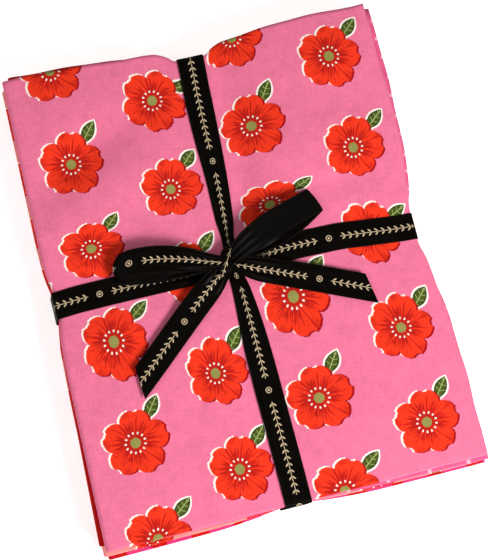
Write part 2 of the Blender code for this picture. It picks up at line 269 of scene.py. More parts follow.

# %% [markdown]
# ## Quilting cotton
# Quilting cotton is a plain weave of about 27 threads a centimetre. Its yarn is never quite even, so a
# dyed or printed ground shows faint streaks along both thread directions and a slight cloudiness.
# The weave is a product of two sines, and the streaks are noise stretched along each direction. The
# weave's sines raise the threads, and they also colour each crossing a little lighter and darker, which
# is painted light and shade. All of it is measured on the flat cloth, so that it follows the folds as
# woven threads do.

# %% The weave group
THREAD = 0.37 * MM
STREAKS_ALONG_Y = (1100.0, 170.0, 1.0)
STREAKS_ALONG_X = (140.0, 1000.0, 1.0)
CLOUDS_PER_METRE = 110.0
KNUCKLE_PAINTED_SHADE = 0.03
STREAK_HEIGHT = 0.6
COTTON_ROUGHNESS = 0.88
STREAK_ROUGHNESS = -0.2


def make_weave_group():
    bench, given, made, tree = start_group(
        "Cotton weave",
        [
            ("Place", "vector", (0.0, 0.0, 0.0)),
            ("Colour", "colour", (0.8, 0.8, 0.8, 1.0)),
            ("Thread", "number", THREAD),
            ("Streak", "number", 0.25),
            ("Cloud", "number", 0.1),
        ],
        [("Colour", "colour"), ("Height", "number"), ("Roughness", "number")],
    )
    place = given["Place"]
    x, y = bench.parts(place)
    turn_x = bench.sum("MULTIPLY", bench.sum("DIVIDE", x, given["Thread"]), math.pi)
    turn_y = bench.sum("MULTIPLY", bench.sum("DIVIDE", y, given["Thread"]), math.pi)
    knuckles = bench.sum("MULTIPLY", bench.sum("SINE", turn_x), bench.sum("SINE", turn_y))
    along_y = bench.noise(bench.vector("MULTIPLY", place, STREAKS_ALONG_Y), 1.0)
    along_x = bench.noise(bench.vector("MULTIPLY", place, STREAKS_ALONG_X), 1.0)
    streaks = bench.sum("SUBTRACT", bench.sum("ADD", along_x, along_y), 1.0)
    cloud = bench.sum("SUBTRACT", bench.noise(place, CLOUDS_PER_METRE, 3.0), 0.5)
    tone = bench.sum("MULTIPLY_ADD", streaks, given["Streak"], 1.0)
    tone = bench.sum("MULTIPLY_ADD", cloud, given["Cloud"], tone)
    # Painted light and shade: each thread crossing is coloured a little lighter and darker.
    tone = bench.sum("MULTIPLY_ADD", knuckles, KNUCKLE_PAINTED_SHADE, tone)
    roughness = bench.sum("MULTIPLY_ADD", streaks, STREAK_ROUGHNESS, COTTON_ROUGHNESS)
    bench.feed(made["Colour"], bench.vector("SCALE", given["Colour"], tone))
    bench.feed(made["Height"], bench.sum("MULTIPLY_ADD", streaks, STREAK_HEIGHT, knuckles))
    bench.feed(made["Roughness"], roughness)
    return tree


weave_group = make_weave_group()
print("Threads to the centimetre:", round(0.01 / THREAD))

# %% [markdown]
# ## Repeating a motif
# A printed cloth repeats. In a half-drop repeat every second column of motifs starts half a repeat
# lower, which hides the rows. The group finds the column and the row of a point, and gives the
# point's place in that cell, measured from the cell's middle. Chance moves and turns each motif in
# its cell, so that the print doesn't look stamped by a machine.

# %% The half-drop repeat group
def make_repeat_group():
    bench, given, made, tree = start_group(
        "Half-drop repeat",
        [
            ("Place", "vector", (0.0, 0.0, 0.0)),
            ("Width", "number", 0.05),
            ("Height", "number", 0.05),
            ("Turn", "number", 0.5),
            ("Wander", "number", 0.0),
        ],
        [("Local", "vector")],
    )
    x, y = bench.parts(given["Place"])
    column = bench.sum("FLOOR", bench.sum("DIVIDE", x, given["Width"]))
    drop = bench.sum("MULTIPLY", bench.sum("FLOORED_MODULO", column, 2.0), 0.5)
    down = bench.sum("ADD", bench.sum("DIVIDE", y, given["Height"]), drop)
    row = bench.sum("FLOOR", down)
    middle_x = bench.sum("MULTIPLY", bench.sum("ADD", column, 0.5), given["Width"])
    local_x = bench.sum("SUBTRACT", x, middle_x)
    from_middle = bench.sum("SUBTRACT", bench.sum("SUBTRACT", down, row), 0.5)
    local_y = bench.sum("MULTIPLY", from_middle, given["Height"])
    cell = bench.add("ShaderNodeTexWhiteNoise", {"Vector": bench.join(column, row)}, noise_dimensions="2D")
    stray = bench.vector("SUBTRACT", cell.outputs["Color"], (0.5, 0.5, 0.5))
    stray = bench.vector("SCALE", stray, given["Wander"])
    local = bench.vector("SUBTRACT", bench.join(local_x, local_y), stray)
    angle = bench.sum("MULTIPLY", bench.sum("SUBTRACT", cell.outputs["Value"], 0.5), given["Turn"])
    turned = bench.add("ShaderNodeVectorRotate", {"Vector": local, "Angle": angle}, rotation_type="Z_AXIS")
    bench.feed(made["Local"], turned.outputs["Vector"])
    return tree


repeat_group = make_repeat_group()
print("Repeat:", len(repeat_group.nodes), "nodes")

# %% [markdown]
# ## A blossom
# The print is a plain garden design of this scene's own: five-petalled blossoms, each with one leaf. A
# blossom is a circle whose radius rises and falls five times round it, with a small notch at the tip of
# each petal. The group gives masks and no colours, so that one drawing serves cloths of any colours. A
# little noise gives the loose edge of a screen print.

# %% The blossom group
# Sizes here are shares of the blossom's radius.
PETAL_COUNT = 5
SEED_COUNT = 13
PETAL_BASE = 0.68
PETAL_SWELL = 0.3
PETAL_NOTCH = 0.07
PETAL_RIM = 0.015
LOOSE_EDGE = 0.05
LOOSE_EDGE_PER_METRE = 900.0
HEART_FADE = (0.17, 0.14)
SEED_RING = 0.29
SEED_FADE = (0.045, 0.02)
FLUSH_INK = 0.75
SIDE_INK = 0.4
BRUSH_ROUND = 9.0
BRUSH_OUT = 1.6


def make_blossom_group():
    bench, given, made, tree = start_group(
        "Blossom",
        [("Local", "vector", (0.0, 0.0, 0.0)), ("Radius", "number", 0.01)],
        [("Petals", "number"), ("Shade", "number"), ("Heart", "number"), ("Seeds", "number")],
    )
    x, y = bench.parts(given["Local"])
    angle = bench.sum("ARCTAN2", y, x)
    reach = bench.sum("DIVIDE", bench.vector("LENGTH", given["Local"]), given["Radius"])
    ragged = bench.sum("SUBTRACT", bench.noise(given["Local"], LOOSE_EDGE_PER_METRE, 3.0), 0.5)
    reach_loose = bench.sum("MULTIPLY_ADD", ragged, LOOSE_EDGE, reach)
    lobes = bench.sum("ABSOLUTE", bench.sum("COSINE", bench.sum("MULTIPLY", angle, PETAL_COUNT / 2)))
    edge = bench.sum("MULTIPLY_ADD", bench.sum("POWER", lobes, 0.5), PETAL_SWELL, PETAL_BASE)
    edge = bench.sum("MULTIPLY_ADD", bench.soft_step(lobes, 0.93, 1.0), -PETAL_NOTCH, edge)
    inside = bench.sum("SUBTRACT", edge, reach_loose)
    bench.feed(made["Petals"], bench.soft_step(inside, -PETAL_RIM, PETAL_RIM))

    # The darker ink lies in the valleys between petals, in brush strokes near the heart and on one side.
    valley = bench.sum("MULTIPLY", bench.soft_step(lobes, 0.2, 0.0), bench.soft_step(reach, 0.85, 0.2))
    strokes = bench.join(bench.sum("MULTIPLY", angle, BRUSH_ROUND), bench.sum("MULTIPLY", reach, BRUSH_OUT))
    flush = bench.sum("SUBTRACT", bench.noise(strokes, 1.0), bench.sum("MULTIPLY", reach, 0.62))
    flush = bench.soft_step(flush, 0.12, 0.26)
    one_side = bench.sum("SINE", bench.sum("MULTIPLY", angle, PETAL_COUNT))
    outer = bench.sum("MULTIPLY", one_side, bench.soft_step(reach, 0.5, 0.9))
    side = bench.soft_step(bench.sum("MULTIPLY_ADD", ragged, 0.9, outer), 0.6, 0.9)
    shade = bench.sum("MAXIMUM", valley, bench.sum("MULTIPLY", flush, FLUSH_INK))
    bench.feed(made["Shade"], bench.sum("MAXIMUM", shade, bench.sum("MULTIPLY", side, SIDE_INK)))

    bench.feed(made["Heart"], bench.soft_step(reach_loose, *HEART_FADE))
    from_ring = bench.sum("ABSOLUTE", bench.sum("SUBTRACT", reach, SEED_RING))
    beads = bench.soft_step(bench.sum("COSINE", bench.sum("MULTIPLY", angle, SEED_COUNT)), 0.35, 0.6)
    bench.feed(made["Seeds"], bench.sum("MULTIPLY", bench.soft_step(from_ring, *SEED_FADE), beads))
    return tree


blossom_group = make_blossom_group()
print("Blossom:", PETAL_COUNT, "petals and", SEED_COUNT, "seeds from", len(blossom_group.nodes), "nodes")

# %% [markdown]
# ## A leaf
# A leaf is what two arcs leave between them, with a middle vein and slanted side veins. It could be a
# small picture, but arcs stay sharp at any distance. As with the blossom, the group gives masks alone.

# %% The leaf group
# Places across a leaf are shares of its half width, and places along it of its half length.
SIDE_VEINS = 2.3
VEIN_SLANT = -0.55
LEAF_LOOSE_EDGE_PER_METRE = 1100.0


def make_leaf_group():
    bench, given, made, tree = start_group(
        "Leaf",
        [
            ("Local", "vector", (0.0, 0.0, 0.0)),
            ("Middle", "vector", (0.0, 0.0, 0.0)),
            ("Angle", "number", 0.0),
            ("Half length", "number", 0.008),
            ("Half width", "number", 0.004),
        ],
        [("Blade", "number"), ("Rim", "number"), ("Edge", "number"), ("Veins", "number")],
    )
    moved = bench.vector("SUBTRACT", given["Local"], given["Middle"])
    angle = bench.sum("MULTIPLY", given["Angle"], -1.0)
    turned = bench.add("ShaderNodeVectorRotate", {"Vector": moved, "Angle": angle}, rotation_type="Z_AXIS")
    x, y = bench.parts(turned.outputs["Vector"])
    ragged = bench.sum("SUBTRACT", bench.noise(given["Local"], LEAF_LOOSE_EDGE_PER_METRE), 0.5)
    along = bench.sum("DIVIDE", x, given["Half length"])
    across = bench.sum("ABSOLUTE", bench.sum("DIVIDE", y, given["Half width"]))
    arc = bench.sum("SUBTRACT", 1.0, bench.sum("MULTIPLY", along, along))
    inside = bench.sum("SUBTRACT", arc, bench.sum("MULTIPLY_ADD", ragged, 0.15, across))
    bench.feed(made["Blade"], bench.soft_step(inside, -0.03, 0.05))
    bench.feed(made["Rim"], bench.soft_step(inside, -0.36, -0.28))
    bench.feed(made["Edge"], bench.soft_step(inside, 0.3, 0.12))

    slope = bench.sum("MULTIPLY_ADD", across, VEIN_SLANT, bench.sum("MULTIPLY", along, SIDE_VEINS))
    wave = bench.sum("ABSOLUTE", bench.sum("SUBTRACT", bench.sum("FRACT", slope), 0.5))
    off_rim = bench.soft_step(inside, 0.12, 0.3)
    side_veins = bench.sum("MULTIPLY", bench.soft_step(wave, 0.08, 0.03), off_rim)
    off_tips = bench.soft_step(inside, 0.0, 0.2)
    middle_vein = bench.sum("MULTIPLY", bench.soft_step(across, 0.11, 0.05), off_tips)
    bench.feed(made["Veins"], bench.sum("MAXIMUM", side_veins, middle_vein))
    return tree


leaf_group = make_leaf_group()
print("Leaf:", len(leaf_group.nodes), "nodes")

# %% [markdown]
# ## Inks, and how they take on cotton
# A screen print is built up ink over ink: a cream under-print, a dark red, then the bright red, each a
# little off the last. Each ink here is one colour laid over the cloth's colour by a mask, in that order.
# The printed colour then goes through the weave, which gives it threads, streaks and a matt finish.

# %% Inks
PINK = (0.78, 0.170, 0.295, 1.0)
ORANGE_RED = (0.83, 0.035, 0.010, 1.0)
DARK_RED = (0.34, 0.002, 0.004, 1.0)
CREAM = (0.92, 0.82, 0.72, 1.0)
LEAF_GREEN = (0.060, 0.092, 0.011, 1.0)
LEAF_LIGHT = (0.34, 0.40, 0.13, 1.0)
LEAF_DARK = (0.022, 0.034, 0.005, 1.0)
DEEP_RED = (0.50, 0.006, 0.005, 1.0)
MAGENTA = (0.70, 0.040, 0.190, 1.0)
ROSE = (0.76, 0.105, 0.245, 1.0)
SALMON = (0.84, 0.27, 0.24, 1.0)
PALE_ROSE = (0.86, 0.40, 0.46, 1.0)
OLIVE = (0.28, 0.26, 0.07, 1.0)

top_inks = [[round(part, 2) for part in ink[:3]] for ink in (PINK, ORANGE_RED, CREAM)]
print("Inks on the top cotton:", top_inks)


# %% Start a finish and weave a colour into it
COTTON_RELIEF = 0.03 * MM
RELIEF_STRENGTH = 0.5
COTTON_SPECULAR = 0.1
COTTON_SHEEN = 0.02
COTTON_SHEEN_ROUGHNESS = 0.6


def start_finish(name):
    """A new material, its bench, its shader and the place on the flat cloth."""
    material = bpy.data.materials.new(name)
    material.use_nodes = True
    bench = NodeBench(material.node_tree)
    shader = material.node_tree.nodes["Principled BSDF"]
    flat = bench.add("ShaderNodeAttribute", {}, attribute_name="flat_cloth")
    return material, bench, shader, flat.outputs["Vector"]


def weave_in(bench, shader, place, colour, streak=0.22, cloud=0.2):
    """Put a printed or dyed colour on woven cotton and give the shader its finish."""
    inputs = {"Place": place, "Colour": colour, "Streak": streak, "Cloud": cloud}
    woven = bench.group(weave_group, inputs)
    bench.feed(shader.inputs["Base Color"], woven["Colour"])
    bench.feed(shader.inputs["Roughness"], woven["Roughness"])
    inputs = {"Height": woven["Height"], "Strength": RELIEF_STRENGTH, "Distance": COTTON_RELIEF}
    bench.feed(shader.inputs["Normal"], bench.add("ShaderNodeBump", inputs).outputs["Normal"])
    shader.inputs["Specular IOR Level"].default_value = COTTON_SPECULAR
    shader.inputs["Sheen Weight"].default_value = COTTON_SHEEN
    shader.inputs["Sheen Roughness"].default_value = COTTON_SHEEN_ROUGHNESS


print("Threads of cotton stand out by", round(COTTON_RELIEF / MM, 3), "mm")

# %% Print a blossom and a leaf
Drawing = namedtuple(
    "Drawing", "pitch turn wander radius misprint leaf_middle leaf_half_length leaf_half_width"
)
LARGE_DRAWING = Drawing(56, 0.6, 1.5, 19.6, (1.1, -0.7), (15.9, 15.0), 7.6, 3.7)
SMALL_DRAWING = Drawing(34, 3.0, 1.36, 12.58, (0.7, -0.5), (10.54, 9.86), 5.1, 2.55)
LEAF_ANGLE = 0.76


def flat_place(pair):
    """A place on the flat cloth, from two sizes in millimetres."""
    return (pair[0] * MM, pair[1] * MM, 0.0)


def print_blossom(bench, ground, local, drawing):
    """A red blossom over a cream and a dark red print, which lie a little to either side of it."""
    misprint = flat_place(drawing.misprint)
    places = (bench.vector("ADD", local, misprint), bench.vector("SUBTRACT", local, misprint), local)
    pale, deep, above = (
        bench.group(blossom_group, {"Local": place, "Radius": drawing.radius * MM}) for place in places
    )
    colour = bench.over(ground, CREAM, pale["Petals"])
    colour = bench.over(colour, DARK_RED, deep["Petals"])
    colour = bench.over(colour, ORANGE_RED, above["Petals"])
    shade = bench.sum("MULTIPLY", above["Shade"], above["Petals"])
    colour = bench.over(colour, DARK_RED, shade)
    colour = bench.over(colour, CREAM, above["Seeds"])
    return bench.over(colour, OLIVE, above["Heart"])


def print_leaf(bench, ground, local, drawing):
    """A green leaf with light veins, a dark edge and a cream under-print."""
    inputs = {"Local": local, "Middle": flat_place(drawing.leaf_middle), "Angle": LEAF_ANGLE}
    inputs["Half length"] = drawing.leaf_half_length * MM
    inputs["Half width"] = drawing.leaf_half_width * MM
    leaf = bench.group(leaf_group, inputs)
    colour = bench.over(ground, CREAM, leaf["Rim"])
    colour = bench.over(colour, LEAF_GREEN, leaf["Blade"])
    edge = bench.sum("MULTIPLY", leaf["Edge"], leaf["Blade"])
    colour = bench.over(colour, LEAF_DARK, edge)
    return bench.over(colour, LEAF_LIGHT, leaf["Veins"])


print("Blossoms:", 2 * LARGE_DRAWING.radius, "and", 2 * SMALL_DRAWING.radius, "mm across")

# %% [markdown]
# ## The five printed faces
# Each piece of the bundle has its own print in one family of colours. The top one shows large red
# blossoms on pink, and one below it the same drawing, smaller and closer. The others show only at the
# edges, so they have dots or small plain blossoms. Printed cotton is paler on its back, where the ink
# hasn't gone through, and along its cut edges.

# %% Cottons with blossoms and dots
DOT_EDGE = 0.15 * MM
SMALL_BLOSSOM = 0.36
SMALL_BLOSSOM_TURN = 3.0
DOT_WANDER = 0.1


def make_blossom_cotton(name, ground, drawing):
    """Blossoms, each with a leaf, in a half-drop repeat on a coloured ground."""
    material, bench, shader, place = start_finish(name)
    pitch = drawing.pitch * MM
    inputs = {"Place": place, "Width": pitch, "Height": pitch, "Turn": drawing.turn}
    inputs["Wander"] = drawing.wander * MM
    local = bench.group(repeat_group, inputs)["Local"]
    colour = print_leaf(bench, ground, local, drawing)
    weave_in(bench, shader, place, print_blossom(bench, colour, local, drawing))
    return material


def make_dotted_cotton(name, ground, ink, pitch, radius):
    material, bench, shader, place = start_finish(name)
    inputs = {"Place": place, "Width": pitch, "Height": pitch, "Wander": DOT_WANDER * pitch}
    from_middle = bench.vector("LENGTH", bench.group(repeat_group, inputs)["Local"])
    dot = bench.soft_step(from_middle, radius + DOT_EDGE, radius - DOT_EDGE)
    weave_in(bench, shader, place, bench.over(ground, ink, dot))
    return material


def make_small_blossom_cotton(name, ground, ink, pitch):
    material, bench, shader, place = start_finish(name)
    inputs = {"Place": place, "Width": pitch, "Height": pitch, "Turn": SMALL_BLOSSOM_TURN}
    local = bench.group(repeat_group, inputs)["Local"]
    blossom = bench.group(blossom_group, {"Local": local, "Radius": SMALL_BLOSSOM * pitch})
    weave_in(bench, shader, place, bench.over(ground, ink, blossom["Petals"]))
    return material


print("Repeats of the two drawings:", LARGE_DRAWING.pitch, "and", SMALL_DRAWING.pitch, "mm")

# %% The unprinted backs
INK_THROUGH = 0.45
BACK_STREAK = 0.3


def make_cotton_back(name, ground):
    """The unprinted side: the ground shows through, paler and with stronger streaks."""
    material, bench, shader, place = start_finish(name)
    pale = [INK_THROUGH * ink + (1 - INK_THROUGH) * cream for ink, cream in zip(ground, CREAM)]
    weave_in(bench, shader, place, pale, BACK_STREAK)
    return material


cotton_faces = (
    make_small_blossom_cotton("cotton_magenta", MAGENTA, DEEP_RED, 24 * MM),
    make_blossom_cotton("cotton_salmon", SALMON, SMALL_DRAWING),
    make_small_blossom_cotton("cotton_deep_red", DEEP_RED, DARK_RED, 14 * MM),
    make_dotted_cotton("cotton_rose", ROSE, PALE_ROSE, 12 * MM, 1.2 * MM),
    make_blossom_cotton("cotton_pink_blossom", PINK, LARGE_DRAWING),
)
cotton_backs = tuple(
    make_cotton_back(face.name + "_back", ground)
    for face, ground in zip(cotton_faces, (MAGENTA, SALMON, DEEP_RED, ROSE, PINK))
)
print("Cottons:", [face.name for face in cotton_faces])

# %% [markdown]
# ## Black satin ribbon
# Single-face satin has long threads that float over the surface, so it gleams a little along its
# length, and it has a firm ribbed edge on both sides. The threads are a sine across the ribbon, the
# gleam is noise stretched along it, and the edge is a raised band with ribs. The gleam streaks change the
# roughness and also paint the colour lighter and darker, a painted sheen, and the edge bands are painted
# lighter, a painted highlight on the ribs.

# %% The satin group
SATIN_THREAD = 0.28 * MM
SELVEDGE_RIB = 0.5 * MM
FLOATS_PER_METRE = (500.0, 3600.0, 1.0)
GLEAM_STREAKS_PER_METRE = (45.0, 420.0, 1.0)
PAINTED_SHEEN_TONE = 0.7
SELVEDGE_PAINTED_HIGHLIGHT = 0.5
SELVEDGE_FADE = (0.75 * MM, 0.45 * MM)
SATIN_ROUGHNESS = 0.46


def make_satin_group():
    bench, given, made, tree = start_group(
        "Satin threads",
        [
            ("Place", "vector", (0.0, 0.0, 0.0)),
            ("Colour", "colour", (0.01, 0.01, 0.01, 1.0)),
            ("Gloss", "number", 0.1),
        ],
        [("Colour", "colour"), ("Height", "number"), ("Roughness", "number")],
    )
    x, y = bench.parts(given["Place"])
    threads = bench.sum("SINE", bench.sum("MULTIPLY", y, 2 * math.pi / SATIN_THREAD))
    floats = bench.noise(bench.vector("MULTIPLY", given["Place"], FLOATS_PER_METRE), 1.0)
    gleam_streaks = bench.noise(bench.vector("MULTIPLY", given["Place"], GLEAM_STREAKS_PER_METRE), 1.0)
    gleam_streaks = bench.sum("SUBTRACT", gleam_streaks, 0.5)
    off_edge = bench.sum("SUBTRACT", RIBBON_HALF_WIDTH, bench.sum("ABSOLUTE", y))
    selvedge = bench.soft_step(off_edge, *SELVEDGE_FADE)
    ribs = bench.sum("SINE", bench.sum("MULTIPLY", x, 2 * math.pi / SELVEDGE_RIB))
    # Painted sheen: the gleam streaks make the black lighter and darker along the ribbon.
    tone = bench.sum("MULTIPLY_ADD", gleam_streaks, PAINTED_SHEEN_TONE, 1.0)
    # Painted highlight: the ribbed edge bands are coloured half again lighter.
    tone = bench.sum("MULTIPLY_ADD", selvedge, SELVEDGE_PAINTED_HIGHLIGHT, tone)
    bench.feed(made["Colour"], bench.vector("SCALE", given["Colour"], tone))
    height = bench.sum("MULTIPLY_ADD", threads, 0.25, bench.sum("MULTIPLY", floats, 0.5))
    edge_height = bench.sum("MULTIPLY_ADD", ribs, 0.3, 1.6)
    bench.feed(made["Height"], bench.sum("MULTIPLY_ADD", selvedge, edge_height, height))
    rough = bench.sum("MULTIPLY_ADD", gleam_streaks, 0.3, SATIN_ROUGHNESS)
    rough = bench.sum("SUBTRACT", rough, given["Gloss"])
    bench.feed(made["Roughness"], bench.sum("MULTIPLY_ADD", selvedge, 0.15, rough))
    return tree


satin_group = make_satin_group()
print("Satin threads across the ribbon:", round(2 * RIBBON_HALF_WIDTH / SATIN_THREAD))

# %% [markdown]
# ## A gilt laurel
# A small running laurel is stamped along the middle of the ribbon, in lengths with a ringed dot between
# them. Each leaf of it is the same shape in a cell a few millimetres long, mirrored about the stem. Gold
# foil wears off in flecks, so a noise takes a little of it away.

# %% The ornament group
ORNAMENT_REPEAT = 70 * MM
LAUREL_RUN = 56 * MM
LAUREL_STEP = 4.0 * MM
LAUREL_LEAF_MIDDLE = 1.15 * MM
LAUREL_LEAF_REACH = 0.95 * MM
LAUREL_LEAF_BELLY = 0.62 * MM
LAUREL_LEAF_LEAN = 0.9
PRINT_EDGE = 0.06 * MM
RING_RADIUS = 1.6 * MM
STEM_FADE = (0.24 * MM, 0.14 * MM)
DOT_FADE = (0.75 * MM, 0.6 * MM)
RING_FADE = (0.3 * MM, 0.18 * MM)
FLECKS_PER_METRE = 2600.0


def make_ornament_group():
    bench, given, made, tree = start_group(
        "Running laurel",
        [("Place", "vector", (0.0, 0.0, 0.0)), ("Worn", "number", 0.3)],
        [("Gilt", "number")],
    )
    x, y = bench.parts(given["Place"])
    turn = bench.sum("FRACT", bench.sum("DIVIDE", x, ORNAMENT_REPEAT))
    repeat = bench.sum("MULTIPLY", turn, ORNAMENT_REPEAT)
    in_run = bench.sum("LESS_THAN", repeat, LAUREL_RUN)
    up = bench.sum("ABSOLUTE", y)
    step = bench.sum("FRACT", bench.sum("DIVIDE", repeat, LAUREL_STEP))
    local = bench.sum("MULTIPLY", bench.sum("SUBTRACT", step, 0.5), LAUREL_STEP)

    # Each leaf of the laurel leans forward from the stem, so its middle line is a slanted one.
    outward = bench.sum("SUBTRACT", up, LAUREL_LEAF_MIDDLE)
    lean = bench.sum("SUBTRACT", local, bench.sum("MULTIPLY", outward, LAUREL_LEAF_LEAN))
    reach = bench.sum("DIVIDE", outward, LAUREL_LEAF_REACH)
    belly = bench.sum("SUBTRACT", 1.0, bench.sum("MULTIPLY", reach, reach))
    belly = bench.sum("MULTIPLY", belly, LAUREL_LEAF_BELLY)
    leaf_gap = bench.sum("SUBTRACT", belly, bench.sum("ABSOLUTE", lean))
    leaves = bench.soft_step(leaf_gap, -PRINT_EDGE, PRINT_EDGE)
    stem = bench.soft_step(up, *STEM_FADE)
    run = bench.sum("MULTIPLY", bench.sum("MAXIMUM", leaves, stem), in_run)

    gap_middle = (ORNAMENT_REPEAT + LAUREL_RUN) / 2
    from_gap = bench.join(bench.sum("SUBTRACT", repeat, gap_middle), y)
    from_dot = bench.vector("LENGTH", from_gap)
    dot = bench.soft_step(from_dot, *DOT_FADE)
    ring = bench.sum("ABSOLUTE", bench.sum("SUBTRACT", from_dot, RING_RADIUS))
    ring = bench.soft_step(ring, *RING_FADE)
    gilt = bench.sum("MAXIMUM", run, bench.sum("MAXIMUM", dot, ring))
    bare = bench.soft_step(bench.noise(given["Place"], FLECKS_PER_METRE, 2.0), 0.5, 0.28)
    kept = bench.sum("SUBTRACT", 1.0, bench.sum("MULTIPLY", given["Worn"], bare))
    bench.feed(made["Gilt"], bench.sum("MULTIPLY", gilt, kept))
    return tree


ornament_group = make_ornament_group()
print("Ornament: leaves every", LAUREL_STEP / MM, "mm, a ring every", ORNAMENT_REPEAT / MM, "mm")

# %% [markdown]
# ## The two sides of the ribbon
# The face has the satin's gleam and the gilt laurel. The back is plain and more matt. One function
# makes both, because they differ only in colour, gloss and whether the laurel is stamped.

# %% Satin face and back
SATIN_BLACK = (0.0024, 0.0018, 0.0013, 1.0)
SATIN_BACK = (0.0034, 0.0028, 0.0023, 1.0)
DULL_GOLD = (0.60, 0.46, 0.29, 1.0)
GILT_WORN = 0.35
SATIN_RELIEF = 0.05 * MM
SATIN_SPECULAR = 0.03


def make_satin(name, colour, gloss, stamped):
    material, bench, shader, place = start_finish(name)
    satin = bench.group(satin_group, {"Place": place, "Colour": colour, "Gloss": gloss})
    surface = satin["Colour"]
    if stamped:
        gilt = bench.group(ornament_group, {"Place": place, "Worn": GILT_WORN})["Gilt"]
        surface = bench.over(surface, DULL_GOLD, gilt)
    bench.feed(shader.inputs["Base Color"], surface)
    bench.feed(shader.inputs["Roughness"], satin["Roughness"])
    inputs = {"Height": satin["Height"], "Strength": RELIEF_STRENGTH, "Distance": SATIN_RELIEF}
    bench.feed(shader.inputs["Normal"], bench.add("ShaderNodeBump", inputs).outputs["Normal"])
    shader.inputs["Specular IOR Level"].default_value = SATIN_SPECULAR
    return material


satin_face = make_satin("satin_black", SATIN_BLACK, 0.12, True)
satin_back = make_satin("satin_black_back", SATIN_BACK, 0.0, False)
print("Ribbon finishes:", satin_face.name, satin_back.name)


# %% [markdown]
# ## Tables for the tied stack
# The shape of the tied stack is kept in short tables, in millimetres: how each piece lies, how hard the
# ribbon presses at some distances from it, how far its run bows to a side. The CAD solids join the rows
# by straight lines. The cloth seen here needs no corners, so its curve through the rows is smooth, and
# still never goes beyond two neighbouring rows.

# %% How the pieces lie
Piece = namedtuple("Piece", "name slot shift_x shift_y turn")
Corner = namedtuple("Corner", "side_x side_y shift_x shift_y")

PIECES = (
    Piece("fat_quarter_1", "cotton_magenta", 1.5, -4.0, 0.1),
    Piece("fat_quarter_2", "cotton_salmon", -0.6, -2.2, -0.1),
    Piece("fat_quarter_3", "cotton_deep_red", 1.0, 1.6, -1.4),
    Piece("fat_quarter_4", "cotton_rose", 2.4, -1.0, -0.7),
    Piece("fat_quarter_5", "cotton_pink_floral", 0.0, 0.0, 0.0),
)
CORNERS = (
    Corner(-1, 1, 2.6, 1.3),
    Corner(1, 1, -3.4, 1.8),
    Corner(1, -1, 1.0, 0.0),
    Corner(-1, -1, -2.2, -2.0),
)
print("Pieces, bottom to top:", [piece.name for piece in PIECES])

# %% How hard the ribbon presses, and how far it draws the edges in
Profile = namedtuple("Profile", "distance share")

PRESS = (Profile(9, 1.0), Profile(22, 0.5), Profile(52, 0.1), Profile(92, 0.0))
GROOVE = (Profile(9, 1.0), Profile(22, 0.0))
EDGE_DROP = (Profile(0, 0.45), Profile(24, 0.15), Profile(64, 0.0))
FOLLOW = (Profile(22, 1.0), Profile(52, 0.0))
DRAWN_LEFT = (Profile(9, 1.0), Profile(14, 0.6), Profile(22, 0.2), Profile(52, 0.0))
DRAWN_RIGHT = (Profile(9, 1.0), Profile(22, 0.62), Profile(52, 0.12), Profile(92, 0.0))
DRAWN_ENDS = (Profile(9, 1.0), Profile(14, 0.6), Profile(22, 0.34), Profile(41, 0.24), Profile(80, 0.0))
RIM_X = (Profile(52, 0.0), Profile(92, 1.0))
RIM_Y = (Profile(66, 0.0), Profile(115, 1.0))
print("The ribbon presses the cloth up to", PRESS[-1].distance, "mm from its middle line")

# %% Where the ribbon runs over the stack
Run = namedtuple("Run", "along side half_width")

LENGTHWISE = (
    Run(-140, -1.3, 8.0), Run(-102, -1.7, 8.0), Run(-73, -2.3, 8.0), Run(-51, -2.6, 7.8),
    Run(-30, -2.8, 6.8), Run(-11, -3.4, 5.3), Run(4, -5.0, 3.8), Run(20, -4.0, 3.6),
    Run(32, -3.1, 5.2), Run(62, -1.6, 6.6), Run(84, -1.3, 7.6), Run(106, -0.8, 8.0),
    Run(134, 0.4, 8.0),
)
CROSSWISE = (
    Run(-112, 4.2, 8.0), Run(-96, 5.0, 8.0), Run(-60, 5.4, 8.0), Run(-20, 5.0, 7.0), Run(-8, 5.0, 5.4),
    Run(8, 5.6, 6.8), Run(30, 7.0, 8.0), Run(58, 6.7, 8.0), Run(77, 5.0, 8.0), Run(108, 2.6, 8.0),
)
print("Rows along the two runs:", len(LENGTHWISE), "and", len(CROSSWISE))


# %% Read the tables
def smooth_through(places, values, where):
    """Read a table at many places on a smooth curve that never goes beyond two neighbouring rows."""
    places = np.array(places, dtype=float)
    values = np.array(values, dtype=float)
    steps = np.diff(places)
    slopes = np.diff(values) / steps
    tangents = np.zeros(len(places))
    for index in range(1, len(places) - 1):
        before, after = slopes[index - 1:index + 1]
        if before * after > 0:
            tangents[index] = 2 * before * after / (before + after)
    where = np.clip(where, places[0], places[-1])
    index = np.clip(np.searchsorted(places, where, side="right") - 1, 0, len(steps) - 1)
    t = (where - places[index]) / steps[index]
    rise = t * t * (3 - 2 * t)
    start_pull = steps[index] * tangents[index] * t * (1 - t) ** 2
    end_pull = steps[index] * tangents[index + 1] * t * t * (1 - t)
    return values[index] * (1 - rise) + values[index + 1] * rise + start_pull - end_pull


def share_at(profile, distance):
    places = [row.distance * MM for row in profile]
    return smooth_through(places, [row.share for row in profile], np.abs(distance))


def run_at(run, along, column):
    places = [row.along * MM for row in run]
    return smooth_through(places, [getattr(row, column) * MM for row in run], along)


def side_at(run, along, share):
    """How far off its axis the ribbon is: straight beneath the stack, bowed over its top."""
    ends = [run[0].along * MM, run[-1].along * MM]
    straight = np.interp(along, ends, [run[0].side * MM, run[-1].side * MM])
    return straight + share * (run_at(run, along, "side") - straight)


print("Ribbon pressed to", round((STACK_HEIGHT - PRESS_DEPTH) / MM, 1), "mm of", STACK_HEIGHT / MM)

